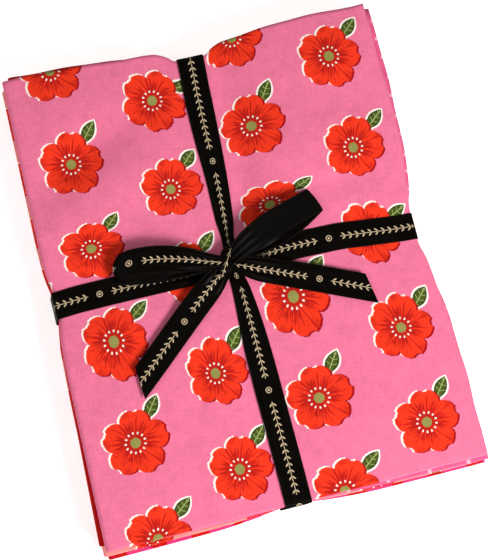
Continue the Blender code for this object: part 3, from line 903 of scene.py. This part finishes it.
# %% [markdown]
# ## Folds, puffs and troughs of the stack
# Tied both ways, the stack swells between the ribbons and is drawn in at its edges. Where the ribbon
# bites, shallow troughs run out from the knot and from the edges. Each is one row of a table, from a
# start to an end. They are shared out down the stack, so that layers which lie on each other stay apart.

# %% The table of troughs
Trough = namedtuple("Trough", "x1 y1 x2 y2 width depth")
TROUGHS = (
    Trough(-34, 108, -112, 70, 12, 3.2),
    Trough(-26, 82, -100, 46, 13, -2.0),
    Trough(-24, 22, -70, 60, 9, 1.0),
    Trough(-14, 30, -30, 88, 8, 1.8),
    Trough(8, 22, 16, 72, 9, 4.4),
    Trough(54, 30, 50, 124, 22, -2.6),
    Trough(100, 30, 92, 126, 18, -1.8),
    Trough(20, 66, 60, 58, 14, -1.4),
    Trough(34, 100, 106, 80, 13, 1.5),
    Trough(26, 24, 92, 40, 8, 1.0),
    Trough(14, -24, 52, -84, 10, 1.6),
    Trough(26, -14, 96, -40, 8, 0.6),
    Trough(-18, -26, -56, -92, 10, 1.2),
    Trough(-30, -16, -94, -44, 9, 1.0),
    Trough(70, 100, 112, 128, 12, -0.9),
    Trough(-60, 108, -104, 130, 13, -0.8),
    Trough(58, -96, 104, -126, 14, -0.8),
    Trough(-62, -104, -100, -128, 13, -0.8),
    Trough(100, 26, 72, 36, 8, 0.9),
    Trough(100, -18, 74, -30, 8, 0.9),
    Trough(14, 136, 18, 84, 9, 3.0),
    Trough(-16, 128, -30, 100, 8, 0.8),
)
print("Troughs and ridges:", len(TROUGHS))

# %% How deep the troughs are, and how high the stack is
TROUGH_ENDS = 0.08


def trough_depth(x, y):
    """How deep all troughs together are at a place: negative rows of the table are low ridges."""
    depth = np.zeros(np.shape(x))
    for row in TROUGHS:
        start = np.array((row.x1, row.y1)) * MM
        line = np.array((row.x2, row.y2)) * MM - start
        length = float(np.hypot(*line))
        along = np.clip(((x - start[0]) * line[0] + (y - start[1]) * line[1]) / length ** 2, 0, 1)
        off = np.hypot(x - start[0] - along * line[0], y - start[1] - along * line[1])
        fade = np.sin(math.pi * np.clip(along, TROUGH_ENDS, 1 - TROUGH_ENDS)) ** 0.5
        depth += row.depth * MM * fade * np.exp(-((off / (row.width * MM)) ** 2))
    return depth


def free_share(x, y):
    """0 beneath the ribbon, rising to 1 away from it."""
    return (1 - share_at(PRESS, x)) * (1 - share_at(PRESS, y))


def top_height(x, y):
    """The stack's top: full between the ribbons, pressed beneath them and lower towards its edges."""
    kept = free_share(x, y)
    kept *= 1 - share_at(EDGE_DROP, HALF_WIDTH - np.abs(x))
    kept *= 1 - share_at(EDGE_DROP, HALF_LENGTH - np.abs(y))
    return STACK_HEIGHT - PRESS_DEPTH * (1 - kept)


def base_height(x, y):
    """The stack's underside: flat on the table, but for a groove that the ribbon below draws up."""
    kept = (1 - share_at(GROOVE, x)) * (1 - share_at(GROOVE, y))
    return GROOVE_DEPTH * (1 - kept)


puff = round(float(top_height(HALF_WIDTH / 2, HALF_LENGTH / 2)) / MM, 1)
print("The stack is", puff, "mm high halfway to its corners")

# %% How far the edges are drawn in and the pieces shifted
def drawn_in(x, y, share):
    """Where the ribbon's pull takes a place. The share is how high up the stack that place is."""
    reach_x = np.maximum(0.0, 1 - (HALF_WIDTH - np.abs(x)) / DRAW_REACH)
    reach_y = np.maximum(0.0, 1 - (HALF_LENGTH - np.abs(y)) / DRAW_REACH)
    pull_x = np.where(x < 0, DRAW_LEFT, -DRAW_RIGHT)
    pull_y = np.where(y < 0, DRAW_NEAR, -DRAW_FAR)
    follow_x = side_at(LENGTHWISE, y, share) * share_at(FOLLOW, x)
    follow_y = side_at(CROSSWISE, x, share) * share_at(FOLLOW, y)
    drawn_x = np.where(x < 0, share_at(DRAWN_LEFT, y), share_at(DRAWN_RIGHT, y))
    new_x = x + pull_x * reach_x * drawn_x + follow_x
    new_y = y + pull_y * reach_y * share_at(DRAWN_ENDS, x) + follow_y
    return new_x, new_y


def shifted(piece, x, y, rest_x, rest_y):
    """Where a piece's own shift, turn and corners take a place. The ribbon holds the middle still."""
    rim_x = share_at(RIM_X, rest_x) * (1 - share_at(PRESS, rest_y))
    rim_y = share_at(RIM_Y, rest_y) * (1 - share_at(PRESS, rest_x))
    weight = np.maximum(rim_x, rim_y)
    for corner in CORNERS:
        near = (1 + corner.side_x * x / HALF_WIDTH) * (1 + corner.side_y * y / HALF_LENGTH) / 4
        x = x + weight * near * corner.shift_x * MM
        y = y + weight * near * corner.shift_y * MM
    angle = math.radians(piece.turn)
    turned_x = x * math.cos(angle) - y * math.sin(angle) + piece.shift_x * MM
    turned_y = x * math.sin(angle) + y * math.cos(angle) + piece.shift_y * MM
    return x + weight * (turned_x - x), y + weight * (turned_y - y)


draws = [round(draw / MM, 1) for draw in (DRAW_LEFT, DRAW_RIGHT, DRAW_NEAR, DRAW_FAR)]
print("Left, right, near and far edge drawn in by", draws, "mm")

# %% [markdown]
# ## Folded cotton
# A fat quarter is one sheet, so each is one grid: the flat cloth is divided along and across, and every
# point is moved to where the two folds take it. Each point also keeps its place on the flat cloth, which
# the weave and the print are drawn by. A modifier gives the sheet its thickness and its paler back.

# %% Stations across a fold
FoldCells = namedtuple("FoldCells", "lower bend upper")
Stations = namedtuple("Stations", "place turn flat")


def fold_stations(fold, cut, radius, cells):
    """Across one fold: the place on the leaf, the angle turned, and the place on the flat cloth."""
    lower = np.linspace(cut - LEAF_SHORT, fold, cells.lower + 1)
    upper = np.linspace(fold, cut, cells.upper + 1)
    bend = np.linspace(-math.pi / 2, math.pi / 2, cells.bend + 1)[1:-1]
    places = np.concatenate([lower, np.full(len(bend), fold), upper])
    turns = np.concatenate([np.full(len(lower), -math.pi / 2), bend, np.full(len(upper), math.pi / 2)])
    flat_lower = 2 * fold - math.pi * radius - lower
    flat_bend = fold - radius * (math.pi / 2 - bend)
    return Stations(places, turns, np.concatenate([flat_lower, flat_bend, upper]))


print("The cloth folds at", round(FOLD_LINE_X / MM, 1), "and", round(FOLD_LINE_Y / MM, 1), "mm")

# %% One mesh from patches of cloth
def cloth_object(name, patches, materials, thickness):
    """One mesh from patches of points, each with its places on the flat cloth, given its thickness."""
    points = []
    faces = []
    flats = []
    for patch_points, patch_flat in patches:
        rows, columns = patch_points.shape[:2]
        index = np.arange(rows * columns).reshape(rows, columns) + sum(len(part) for part in points)
        corners = (index[:-1, :-1], index[:-1, 1:], index[1:, 1:], index[1:, :-1])
        faces.append(np.stack(corners, axis=-1).reshape(-1, 4))
        points.append(patch_points.reshape(-1, 3))
        flats.append(patch_flat.reshape(-1, 3))
    mesh = bpy.data.meshes.new(name)
    mesh.from_pydata(np.concatenate(points).tolist(), [], np.concatenate(faces).tolist())
    attribute = mesh.attributes.new("flat_cloth", "FLOAT_VECTOR", "POINT")
    attribute.data.foreach_set("vector", np.concatenate(flats).reshape(-1).astype(np.float32))
    mesh.shade_smooth()
    for material in materials:
        mesh.materials.append(material)
    item = bpy.data.objects.new(name, mesh)
    bpy.context.scene.collection.objects.link(item)
    solidify = item.modifiers.new("Cloth thickness", "SOLIDIFY")
    solidify.thickness = thickness
    solidify.offset = 0.0
    solidify.material_offset = 1
    solidify.material_offset_rim = 1
    return item


# %% [markdown]
# ## Fold the five fat quarters
# Folding in half both ways is two formulas, one inside the other. The first fold turns the near half
# under. The second turns the left half of both layers under together, round twice the radius. Each
# layer then lies at its own height between the stack's underside and its top. The cut edges waver a
# little, as scissors leave them, and the top piece has the finest grid, because its ripples show.

# %% Sizes of the folded cotton
COTTON = 0.8 * MM
RIPPLE = 0.16 * MM
RIPPLE_ACROSS = 7.1 * MM
RIPPLE_DOWN = 9.3 * MM
RIPPLE_SWAY = 19 * MM
RIPPLE_SWAY_TURN = 1.7
CUT_WAVER = 0.35 * MM
LONG_WAVER = 13 * MM
SHORT_WAVER = 5.7 * MM
CUT_EDGE_FROM = 0.97

TOP_PIECE_CELLS = (FoldCells(24, 10, 96), FoldCells(28, 8, 118))
LOWER_PIECE_CELLS = (FoldCells(24, 10, 30), FoldCells(28, 8, 36))
print("Grid of the top piece:", [sum(cells) for cells in TOP_PIECE_CELLS], "cells")


# %% Fold the five fat quarters
def cut_edge_waver(level, along):
    """A cut edge is never quite straight, and no two pieces alike."""
    wave = np.sin(along / LONG_WAVER + 2.1 * level) + 0.6 * np.sin(along / SHORT_WAVER + 1.3 * level)
    return CUT_WAVER * wave


def folded_points(piece, level, across, down):
    """Where the two folds, the ribbon's pull and the troughs take each point of the flat cloth."""
    leaf_x, leaf_y = np.meshgrid(across.place, down.place)
    turn_x, turn_y = np.meshgrid(across.turn, down.turn)
    rise = TIGHT_RADIUS * np.sin(turn_y)
    rest_y = leaf_y - TIGHT_RADIUS * np.cos(turn_y)
    rest_x = leaf_x - (WIDE_RADIUS + rise) * np.cos(turn_x)
    layer_place = (WIDE_RADIUS + rise) * np.sin(turn_x) / WIDE_RADIUS + (LAYERS_IN_PIECE - 1) / 2
    share = (level * LAYERS_IN_PIECE + layer_place) / (LAYERS - 1)

    base = base_height(leaf_x, leaf_y)
    gap = (top_height(leaf_x, leaf_y) - base - LAYERS * LAYER) / GAP_COUNT
    bottom = base + level * (LAYERS_IN_PIECE * LAYER + GAPS_PER_PIECE * gap)
    z = bottom + LAYER / 2 + layer_place * (LAYER + gap)
    free = free_share(leaf_x, leaf_y)
    z = z - share ** 2 * free ** 0.5 * trough_depth(leaf_x, leaf_y)
    sway = RIPPLE_SWAY_TURN * np.sin(leaf_y / RIPPLE_SWAY)
    ripple = np.sin(leaf_x / RIPPLE_ACROSS + sway) * np.sin(leaf_y / RIPPLE_DOWN)
    z = z + RIPPLE * free * share * ripple

    x, y = drawn_in(rest_x, rest_y, share)
    x, y = shifted(piece, x, y, rest_x, rest_y)
    x = x + cut_edge_waver(level, leaf_y) * (leaf_x / HALF_WIDTH > CUT_EDGE_FROM)
    y = y + cut_edge_waver(level + 0.5, leaf_x) * (leaf_y / HALF_LENGTH > CUT_EDGE_FROM)
    return np.stack([x + BASE_SHIFT.x, y + BASE_SHIFT.y, z], axis=-1)


def fold_fat_quarter(piece, level):
    """One fat quarter as a thin sheet on its solid's folds, with its printed face up."""
    on_top = level == PIECE_COUNT - 1
    cells_across, cells_down = TOP_PIECE_CELLS if on_top else LOWER_PIECE_CELLS
    across = fold_stations(FOLD_LINE_X, HALF_WIDTH, WIDE_RADIUS, cells_across)
    down = fold_stations(FOLD_LINE_Y, HALF_LENGTH, TIGHT_RADIUS, cells_down)
    points = folded_points(piece, level, across, down)
    flat_x, flat_y = np.meshgrid(across.flat, down.flat)
    flat = np.stack([flat_x, flat_y, np.zeros_like(flat_x)], axis=-1)
    materials = (cotton_faces[level], cotton_backs[level])
    return cloth_object("cotton_" + piece.name, [(points, flat)], materials, COTTON)


cottons = [fold_fat_quarter(piece, level) for level, piece in enumerate(PIECES)]
print("Folded:", [(cotton.name, len(cotton.data.polygons)) for cotton in cottons])

# %% [markdown]
# ## The ribbon round the stack
# One ribbon goes round the bundle both ways. Along each run it lies flat on the pressed cloth, turns
# closely over the edges, and is gathered where it comes to the knot. A gathered ribbon keeps its width
# of cloth, so what it loses in width goes into pleats. Each run is a row of stations with a middle, a
# half width and the direction across.

# %% Sizes of the ribbon, and its pleats
RIBBON_THICK = 0.42 * MM
CELLS_ACROSS = 28
PLEATS = 3.5
PLEAT_SLACK = 1.06
# What lies over a strip presses its pleats down, so they are kept under one of these heights.
LOOSE_PLEAT = 1.0 * MM
FLAT_PLEAT = 0.35 * MM
SLANT_REACH = 24 * MM


def pleat_height(half_width):
    """How tall the pleats are, so that the gathered ribbon still has all its width of cloth."""
    fullness = RIBBON_HALF_WIDTH / half_width
    gathered = np.sqrt(np.maximum(2 * (fullness ** 2 - PLEAT_SLACK), 0.0))
    return gathered * half_width / (math.pi * PLEATS)


narrowest = min(row.half_width for row in LENGTHWISE) * MM
free_pleat = round(float(pleat_height(narrowest)) / MM, 2)
print("Pleats where the ribbon is narrowest:", free_pleat, "mm if nothing pressed them")


# %% A strip of ribbon along a line of stations
def ribbon_patch(middles, acrosses, half_widths, start=0.0, slant=0.0, face_up=True, tallest=LOOSE_PLEAT):
    """A strip of ribbon through its middles, with pleats where it is narrow."""
    middles = np.array(middles)
    acrosses = np.array(acrosses)
    half_widths = np.array(half_widths)
    tangents = np.gradient(middles, axis=0)
    normals = np.cross(tangents, acrosses)
    normals /= np.linalg.norm(normals, axis=1, keepdims=True)
    steps = np.linalg.norm(np.diff(middles, axis=0), axis=1)
    run = np.concatenate([[0.0], np.cumsum(steps)]) + start
    place = np.linspace(-1, 1, CELLS_ACROSS + 1)
    heights = np.minimum(pleat_height(half_widths), tallest)
    pleats = heights[:, None] * np.cos(math.pi * PLEATS * place)[None, :]
    points = middles[:, None, :] + acrosses[:, None, :] * (half_widths[:, None] * place)[..., None]
    points = points + normals[:, None, :] * pleats[..., None]
    # A slanted cut is shared out over the last stretch, so that no station passes another.
    lean = np.clip(1 - (run[-1] - run) / SLANT_REACH, 0, 1)[:, None] * (slant * half_widths[-1] * place)
    headings = tangents / np.linalg.norm(tangents, axis=1, keepdims=True)
    points = points + headings[:, None, :] * lean[..., None]
    flat = np.zeros(points.shape)
    flat[..., 0] = run[:, None] + lean
    flat[..., 1] = place * RIBBON_HALF_WIDTH
    if face_up:
        points = points[:, ::-1]
        flat = flat[:, ::-1]
    return points, flat


def curve_rows(rows, steps):
    """More rows between the given ones of a table, on a smooth curve through them."""
    table = np.array(rows, dtype=float)
    padded = np.vstack([2 * table[0] - table[1], table, 2 * table[-1] - table[-2]])
    found = []
    for index in range(1, len(padded) - 2):
        before, start, end, after = padded[index - 1:index + 3]
        for step in range(steps):
            t = step / steps
            straight = (end - before) * t + (2 * before - 5 * start + 4 * end - after) * t ** 2
            bend = (3 * start - before - 3 * end + after) * t ** 3
            found.append(start + (straight + bend) / 2)
    found.append(table[-1])
    return np.array(found)


print("Strips of ribbon are", CELLS_ACROSS, "cells wide")

# %% [markdown]
# ## Wind the ribbon round both ways
# Each band is one closed run: over the top, round a close bend, down the side, beneath the stack and up
# again. It is built from stations, each with a place along the run, a height, a place to the side and a
# half width. Where the two bands cross, the lengthwise one is a ribbon's thickness higher.

# %% Stations of one band
Band = namedtuple("Band", "run low_end high_end lift_top lift_base lengthwise start")
BAND_TOP = STACK_HEIGHT - PRESS_DEPTH + 0.25 * MM
BAND_BASE = 0.55 * MM
BAND_SIDE = 0.9 * MM
BAND_BEND = 1.8 * MM
TOP_STATIONS = 130
BASE_STATIONS = 40
SIDE_STATIONS = 8
BEND_STATIONS = 7


def band_stations(band):
    """Once round the stack, beginning and ending at the top of the high end."""
    stations = []

    def add_station(along, height, on_top=False):
        half_width = float(run_at(band.run, along, "half_width")) if on_top else RIBBON_HALF_WIDTH
        stations.append((along, height, float(side_at(band.run, along, float(on_top))), half_width))

    def add_side(along, first, last):
        for height in np.linspace(first, last, SIDE_STATIONS):
            add_station(along, height)

    def add_bend(centre_along, centre_height, angle_from):
        for angle in np.radians(np.linspace(angle_from, angle_from + 90, BEND_STATIONS)[1:-1]):
            along = centre_along + BAND_BEND * math.cos(angle)
            add_station(along, centre_height + BAND_BEND * math.sin(angle))

    top = BAND_TOP + band.lift_top
    base = BAND_BASE + band.lift_base
    inner_low = band.low_end + BAND_BEND
    inner_high = band.high_end - BAND_BEND
    for along in np.linspace(inner_high, inner_low, TOP_STATIONS):
        add_station(along, top, on_top=True)
    add_bend(inner_low, top - BAND_BEND, 90)
    add_side(band.low_end, top - BAND_BEND, base + BAND_BEND)
    add_bend(inner_low, base + BAND_BEND, 180)
    for along in np.linspace(inner_low, inner_high, BASE_STATIONS):
        add_station(along, base)
    add_bend(inner_high, base + BAND_BEND, 270)
    add_side(band.high_end, base + BAND_BEND, top - BAND_BEND)
    add_bend(inner_high, top - BAND_BEND, 0)
    stations.append(stations[0])
    return np.array(stations)


print("Bands run from", round(BAND_BASE / MM, 2), "to", round(BAND_TOP / MM, 2), "mm high")

# %% Wind both bands
def band_patch(band):
    along, height, side, half_width = band_stations(band).T
    if band.lengthwise:
        middles = np.stack([side, along, height], axis=-1)
        across = (1.0, 0.0, 0.0)
    else:
        middles = np.stack([along, side, height], axis=-1)
        across = (0.0, -1.0, 0.0)
    acrosses = np.tile(across, (len(middles), 1))
    return ribbon_patch(middles, acrosses, half_width, band.start, tallest=FLAT_PLEAT)


near_end = -HALF_LENGTH + DRAW_NEAR - BAND_SIDE
far_end = HALF_LENGTH - DRAW_FAR + BAND_SIDE
left_end = -HALF_WIDTH + DRAW_LEFT - BAND_SIDE
right_end = HALF_WIDTH - DRAW_RIGHT + BAND_SIDE
BANDS = (
    Band(CROSSWISE, left_end, right_end, 0.0, 0.0, False, 12 * MM),
    Band(LENGTHWISE, near_end, far_end, 0.55 * MM, 0.45 * MM, True, 0.0),
)
ribbon_patches = [band_patch(band) for band in BANDS]
print("Bands:", [round(float(np.ptp(flat[..., 0])), 3) for points, flat in ribbon_patches], "m round")

# %% [markdown]
# ## The bow
# The bow has two loops, two tails with slanted ends, and a knot that wraps over them. Each strip is a
# table of places along its own axis from the knot: how far off the axis, how high over the cloth and
# how wide. In a loop the ribbon goes out and comes back beneath, so the rows turn back on themselves.

# %% Tables of the bow
Bow = namedtuple("Bow", "along side up half_width")
Strip = namedtuple("Strip", "rows axis slant face_up start rounding")
KNOT_PLACE = Vector((-8.0, 5.0)) * MM
ON_CLOTH = STACK_HEIGHT + 0.95 * MM

LOOP_LEFT = (
    Bow(0, 0.0, 3.4, 3.2), Bow(12, -1.2, 6.0, 5.2), Bow(24, -3.0, 7.8, 7.2), Bow(40, -4.2, 8.6, 8.0),
    Bow(54, -3.6, 8.0, 8.0), Bow(62, -2.0, 6.6, 8.0), Bow(66, -0.4, 4.2, 8.0), Bow(63, 0.6, 1.6, 8.0),
    Bow(54, 0.9, 0.5, 8.0), Bow(40, 0.3, 0.3, 7.9), Bow(24, -0.2, 0.5, 6.2), Bow(12, -0.2, 0.9, 4.4),
    Bow(0, 0.0, 1.2, 3.2),
)
LOOP_RIGHT = (
    Bow(0, 0.0, 3.8, 3.6), Bow(12, 2.2, 6.4, 6.6), Bow(28, 2.9, 7.8, 8.0), Bow(44, 1.6, 7.0, 8.0),
    Bow(56, 0.2, 5.2, 8.0), Bow(63, -0.4, 3.4, 7.9), Bow(65, -0.6, 1.9, 7.8), Bow(62, -1.2, 0.6, 7.9),
    Bow(48, -2.6, 0.2, 8.0), Bow(30, -2.2, 0.3, 7.4), Bow(12, -0.8, 0.8, 4.6), Bow(0, 0.0, 1.5, 3.2),
)
TAIL_LEFT = (
    Bow(0, 0.0, 2.6, 3.4), Bow(8, 0.0, 2.5, 5.6), Bow(18, -0.2, 1.8, 7.6), Bow(32, -0.4, 0.6, 8.0),
    Bow(50, -0.2, 0.1, 8.0), Bow(72, 0.2, 0.3, 8.0), Bow(87.5, 0.3, 1.0, 8.0),
)
TAIL_RIGHT = (
    Bow(0, 0.0, 3.2, 3.4), Bow(8, 0.0, 3.0, 5.2), Bow(18, 0.0, 2.0, 7.2), Bow(32, 0.3, 0.7, 7.8),
    Bow(50, 0.5, 0.1, 8.0), Bow(70, 0.2, 0.4, 8.0), Bow(86.5, 0.0, 1.2, 8.0),
)
BOW_STRIPS = (
    Strip(LOOP_LEFT, 170.7, 0.0, True, 0.004, 3.6),
    Strip(LOOP_RIGHT, 23.8, 0.0, False, 0.0, 0.6),
    Strip(TAIL_LEFT, -140.0, 0.73, True, 0.02, 0.0),
    Strip(TAIL_RIGHT, -22.8, -0.65, True, 0.008, 0.0),
)
print("Rows of the loops and tails:", [len(strip.rows) for strip in BOW_STRIPS])


# %% Tie the bow
ROWS_BETWEEN = 8
TURN_REACH = 14 * MM


def bow_patch(strip):
    """One loop or tail, laid out from the knot along its own axis."""
    rows = curve_rows(strip.rows, ROWS_BETWEEN)
    angle = math.radians(strip.axis)
    forward = np.array((math.cos(angle), math.sin(angle), 0.0))
    sideways = np.array((-math.sin(angle), math.cos(angle), 0.0))
    along, side, up, half_width = (rows * MM).T
    middles = np.outer(along, forward) + np.outer(side, sideways)
    middles += np.array((KNOT_PLACE.x, KNOT_PLACE.y, ON_CLOTH))
    middles[:, 2] += up
    acrosses = np.tile(sideways, (len(rows), 1))
    points, flat = ribbon_patch(middles, acrosses, half_width, strip.start, strip.slant, strip.face_up)
    # Where a loop turns back, its middle reaches further out than its two edges.
    place = flat[..., 1] / RIBBON_HALF_WIDTH
    at_turn = np.clip(1 - (along.max() - along) / TURN_REACH, 0, 1) ** 2
    outward = strip.rounding * MM * (0.5 - place ** 2) * at_turn[:, None]
    return points + outward[..., None] * forward, flat


ribbon_patches += [bow_patch(strip) for strip in BOW_STRIPS]
print("Bow:", len(BOW_STRIPS), "loops and tails")

# %% [markdown]
# ## Wrap the knot
# The knot is a short gathered length of the same ribbon that goes once round the roots of the loops and
# tails. Its section is a rounded box, which a sine and a cosine raised to a power give, and its two
# sides taper and tuck in. A simple ball would look like a bead, and a ribbon's knot is flat and pleated.

# %% Wrap the knot
KNOT_TURN = math.radians(59)
KNOT_MIDDLE = KNOT_PLACE + Vector((-0.6, 1.4)) * MM
KNOT_HALF_LENGTH = 9.6 * MM
KNOT_HALF_HEIGHT = 4.0 * MM
KNOT_HALF_WIDTH = 4.4 * MM
KNOT_HEIGHT = 32.9 * MM
KNOT_TAPER = 0.42
KNOT_PLEAT = 0.45 * MM
KNOT_PLEATS = 4
KNOT_SQUARENESS = 0.8
KNOT_WRAP_RADIUS = 8 * MM
KNOT_STATIONS = 49


def knot_patch():
    """A short gathered length of ribbon, round the roots of the bow, its two sides tucked in."""
    turns = np.linspace(0, 2 * math.pi, KNOT_STATIONS)
    place = np.linspace(-1, 1, CELLS_ACROSS + 1)
    forward = np.array((math.cos(KNOT_TURN), math.sin(KNOT_TURN), 0.0))
    sideways = np.array((math.sin(KNOT_TURN), -math.cos(KNOT_TURN), 0.0))
    swell = 1 - KNOT_TAPER * np.abs(place) ** 3
    pleats = KNOT_PLEAT * np.cos(math.pi * KNOT_PLEATS * place) * (1 - place ** 4)
    out = np.sign(np.cos(turns)) * np.abs(np.cos(turns)) ** KNOT_SQUARENESS
    up = np.sign(np.sin(turns)) * np.abs(np.sin(turns)) ** KNOT_SQUARENESS
    reach = np.outer(out, KNOT_HALF_LENGTH * swell + pleats)
    rise = np.outer(up, KNOT_HALF_HEIGHT * swell + pleats)
    points = reach[..., None] * forward + (place * KNOT_HALF_WIDTH)[None, :, None] * sideways
    points = points + np.array((KNOT_MIDDLE.x, KNOT_MIDDLE.y, KNOT_HEIGHT))
    points[..., 2] += rise
    flat = np.zeros(points.shape)
    flat[..., 0] = (turns * KNOT_WRAP_RADIUS)[:, None]
    flat[..., 1] = place * RIBBON_HALF_WIDTH
    return points[:, ::-1], flat[:, ::-1]


ribbon_patches.append(knot_patch())
moved_patches = [(points + np.array(BASE_SHIFT), flat) for points, flat in ribbon_patches]
ribbon = cloth_object("satin_ribbon", moved_patches, (satin_face, satin_back), RIBBON_THICK)

# %% [markdown]
# ## The floor
# The bundle lies on plain white paper. Here it glows faintly, so that it stays as white as in the
# photograph and still takes a soft shadow. It is kept out of glossy reflections, because at a grazing
# angle so much white would lay a grey veil on the black satin.

# %% Lay the floor
FLOOR_HALF = 3.0
FLOOR_DROP = 0.4 * MM
FLOOR_COLOUR = (0.93, 0.93, 0.93, 1.0)
FLOOR_GLOW = (1.0, 0.99, 0.985, 1.0)
FLOOR_GLOW_STRENGTH = 0.62
PAPER_ROUGHNESS = 0.9
PAPER_SPECULAR = 0.1

floor_mesh = bpy.data.meshes.new("white_floor")
floor_sides = ((-1, -1), (1, -1), (1, 1), (-1, 1))
floor_corners = [(x * FLOOR_HALF, y * FLOOR_HALF, -FLOOR_DROP) for x, y in floor_sides]
floor_mesh.from_pydata(floor_corners, [], [(0, 1, 2, 3)])
floor_finish = bpy.data.materials.new("white_paper")
floor_finish.use_nodes = True
floor_shader = floor_finish.node_tree.nodes["Principled BSDF"]
floor_shader.inputs["Base Color"].default_value = FLOOR_COLOUR
floor_shader.inputs["Roughness"].default_value = PAPER_ROUGHNESS
floor_shader.inputs["Specular IOR Level"].default_value = PAPER_SPECULAR
floor_shader.inputs["Emission Color"].default_value = FLOOR_GLOW
floor_shader.inputs["Emission Strength"].default_value = FLOOR_GLOW_STRENGTH
floor_mesh.materials.append(floor_finish)
floor = bpy.data.objects.new("white_floor", floor_mesh)
floor.visible_glossy = False
bpy.context.scene.collection.objects.link(floor)
print("Floor:", 2 * FLOOR_HALF, "m across")

# %% [markdown]
# ## What rides on what
# Every piece of cloth takes the place of its solid, which is hidden, and rides on the one body.

# %% Ride and replace
for level, (piece, cotton) in enumerate(zip(PIECES, cottons)):
    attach(cotton, "root")
    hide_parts(piece.name)
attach(ribbon, "root")
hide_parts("ribbon")

# %% [markdown]
# ## The size
# The dressed bundle has to be as large as its CAD model.
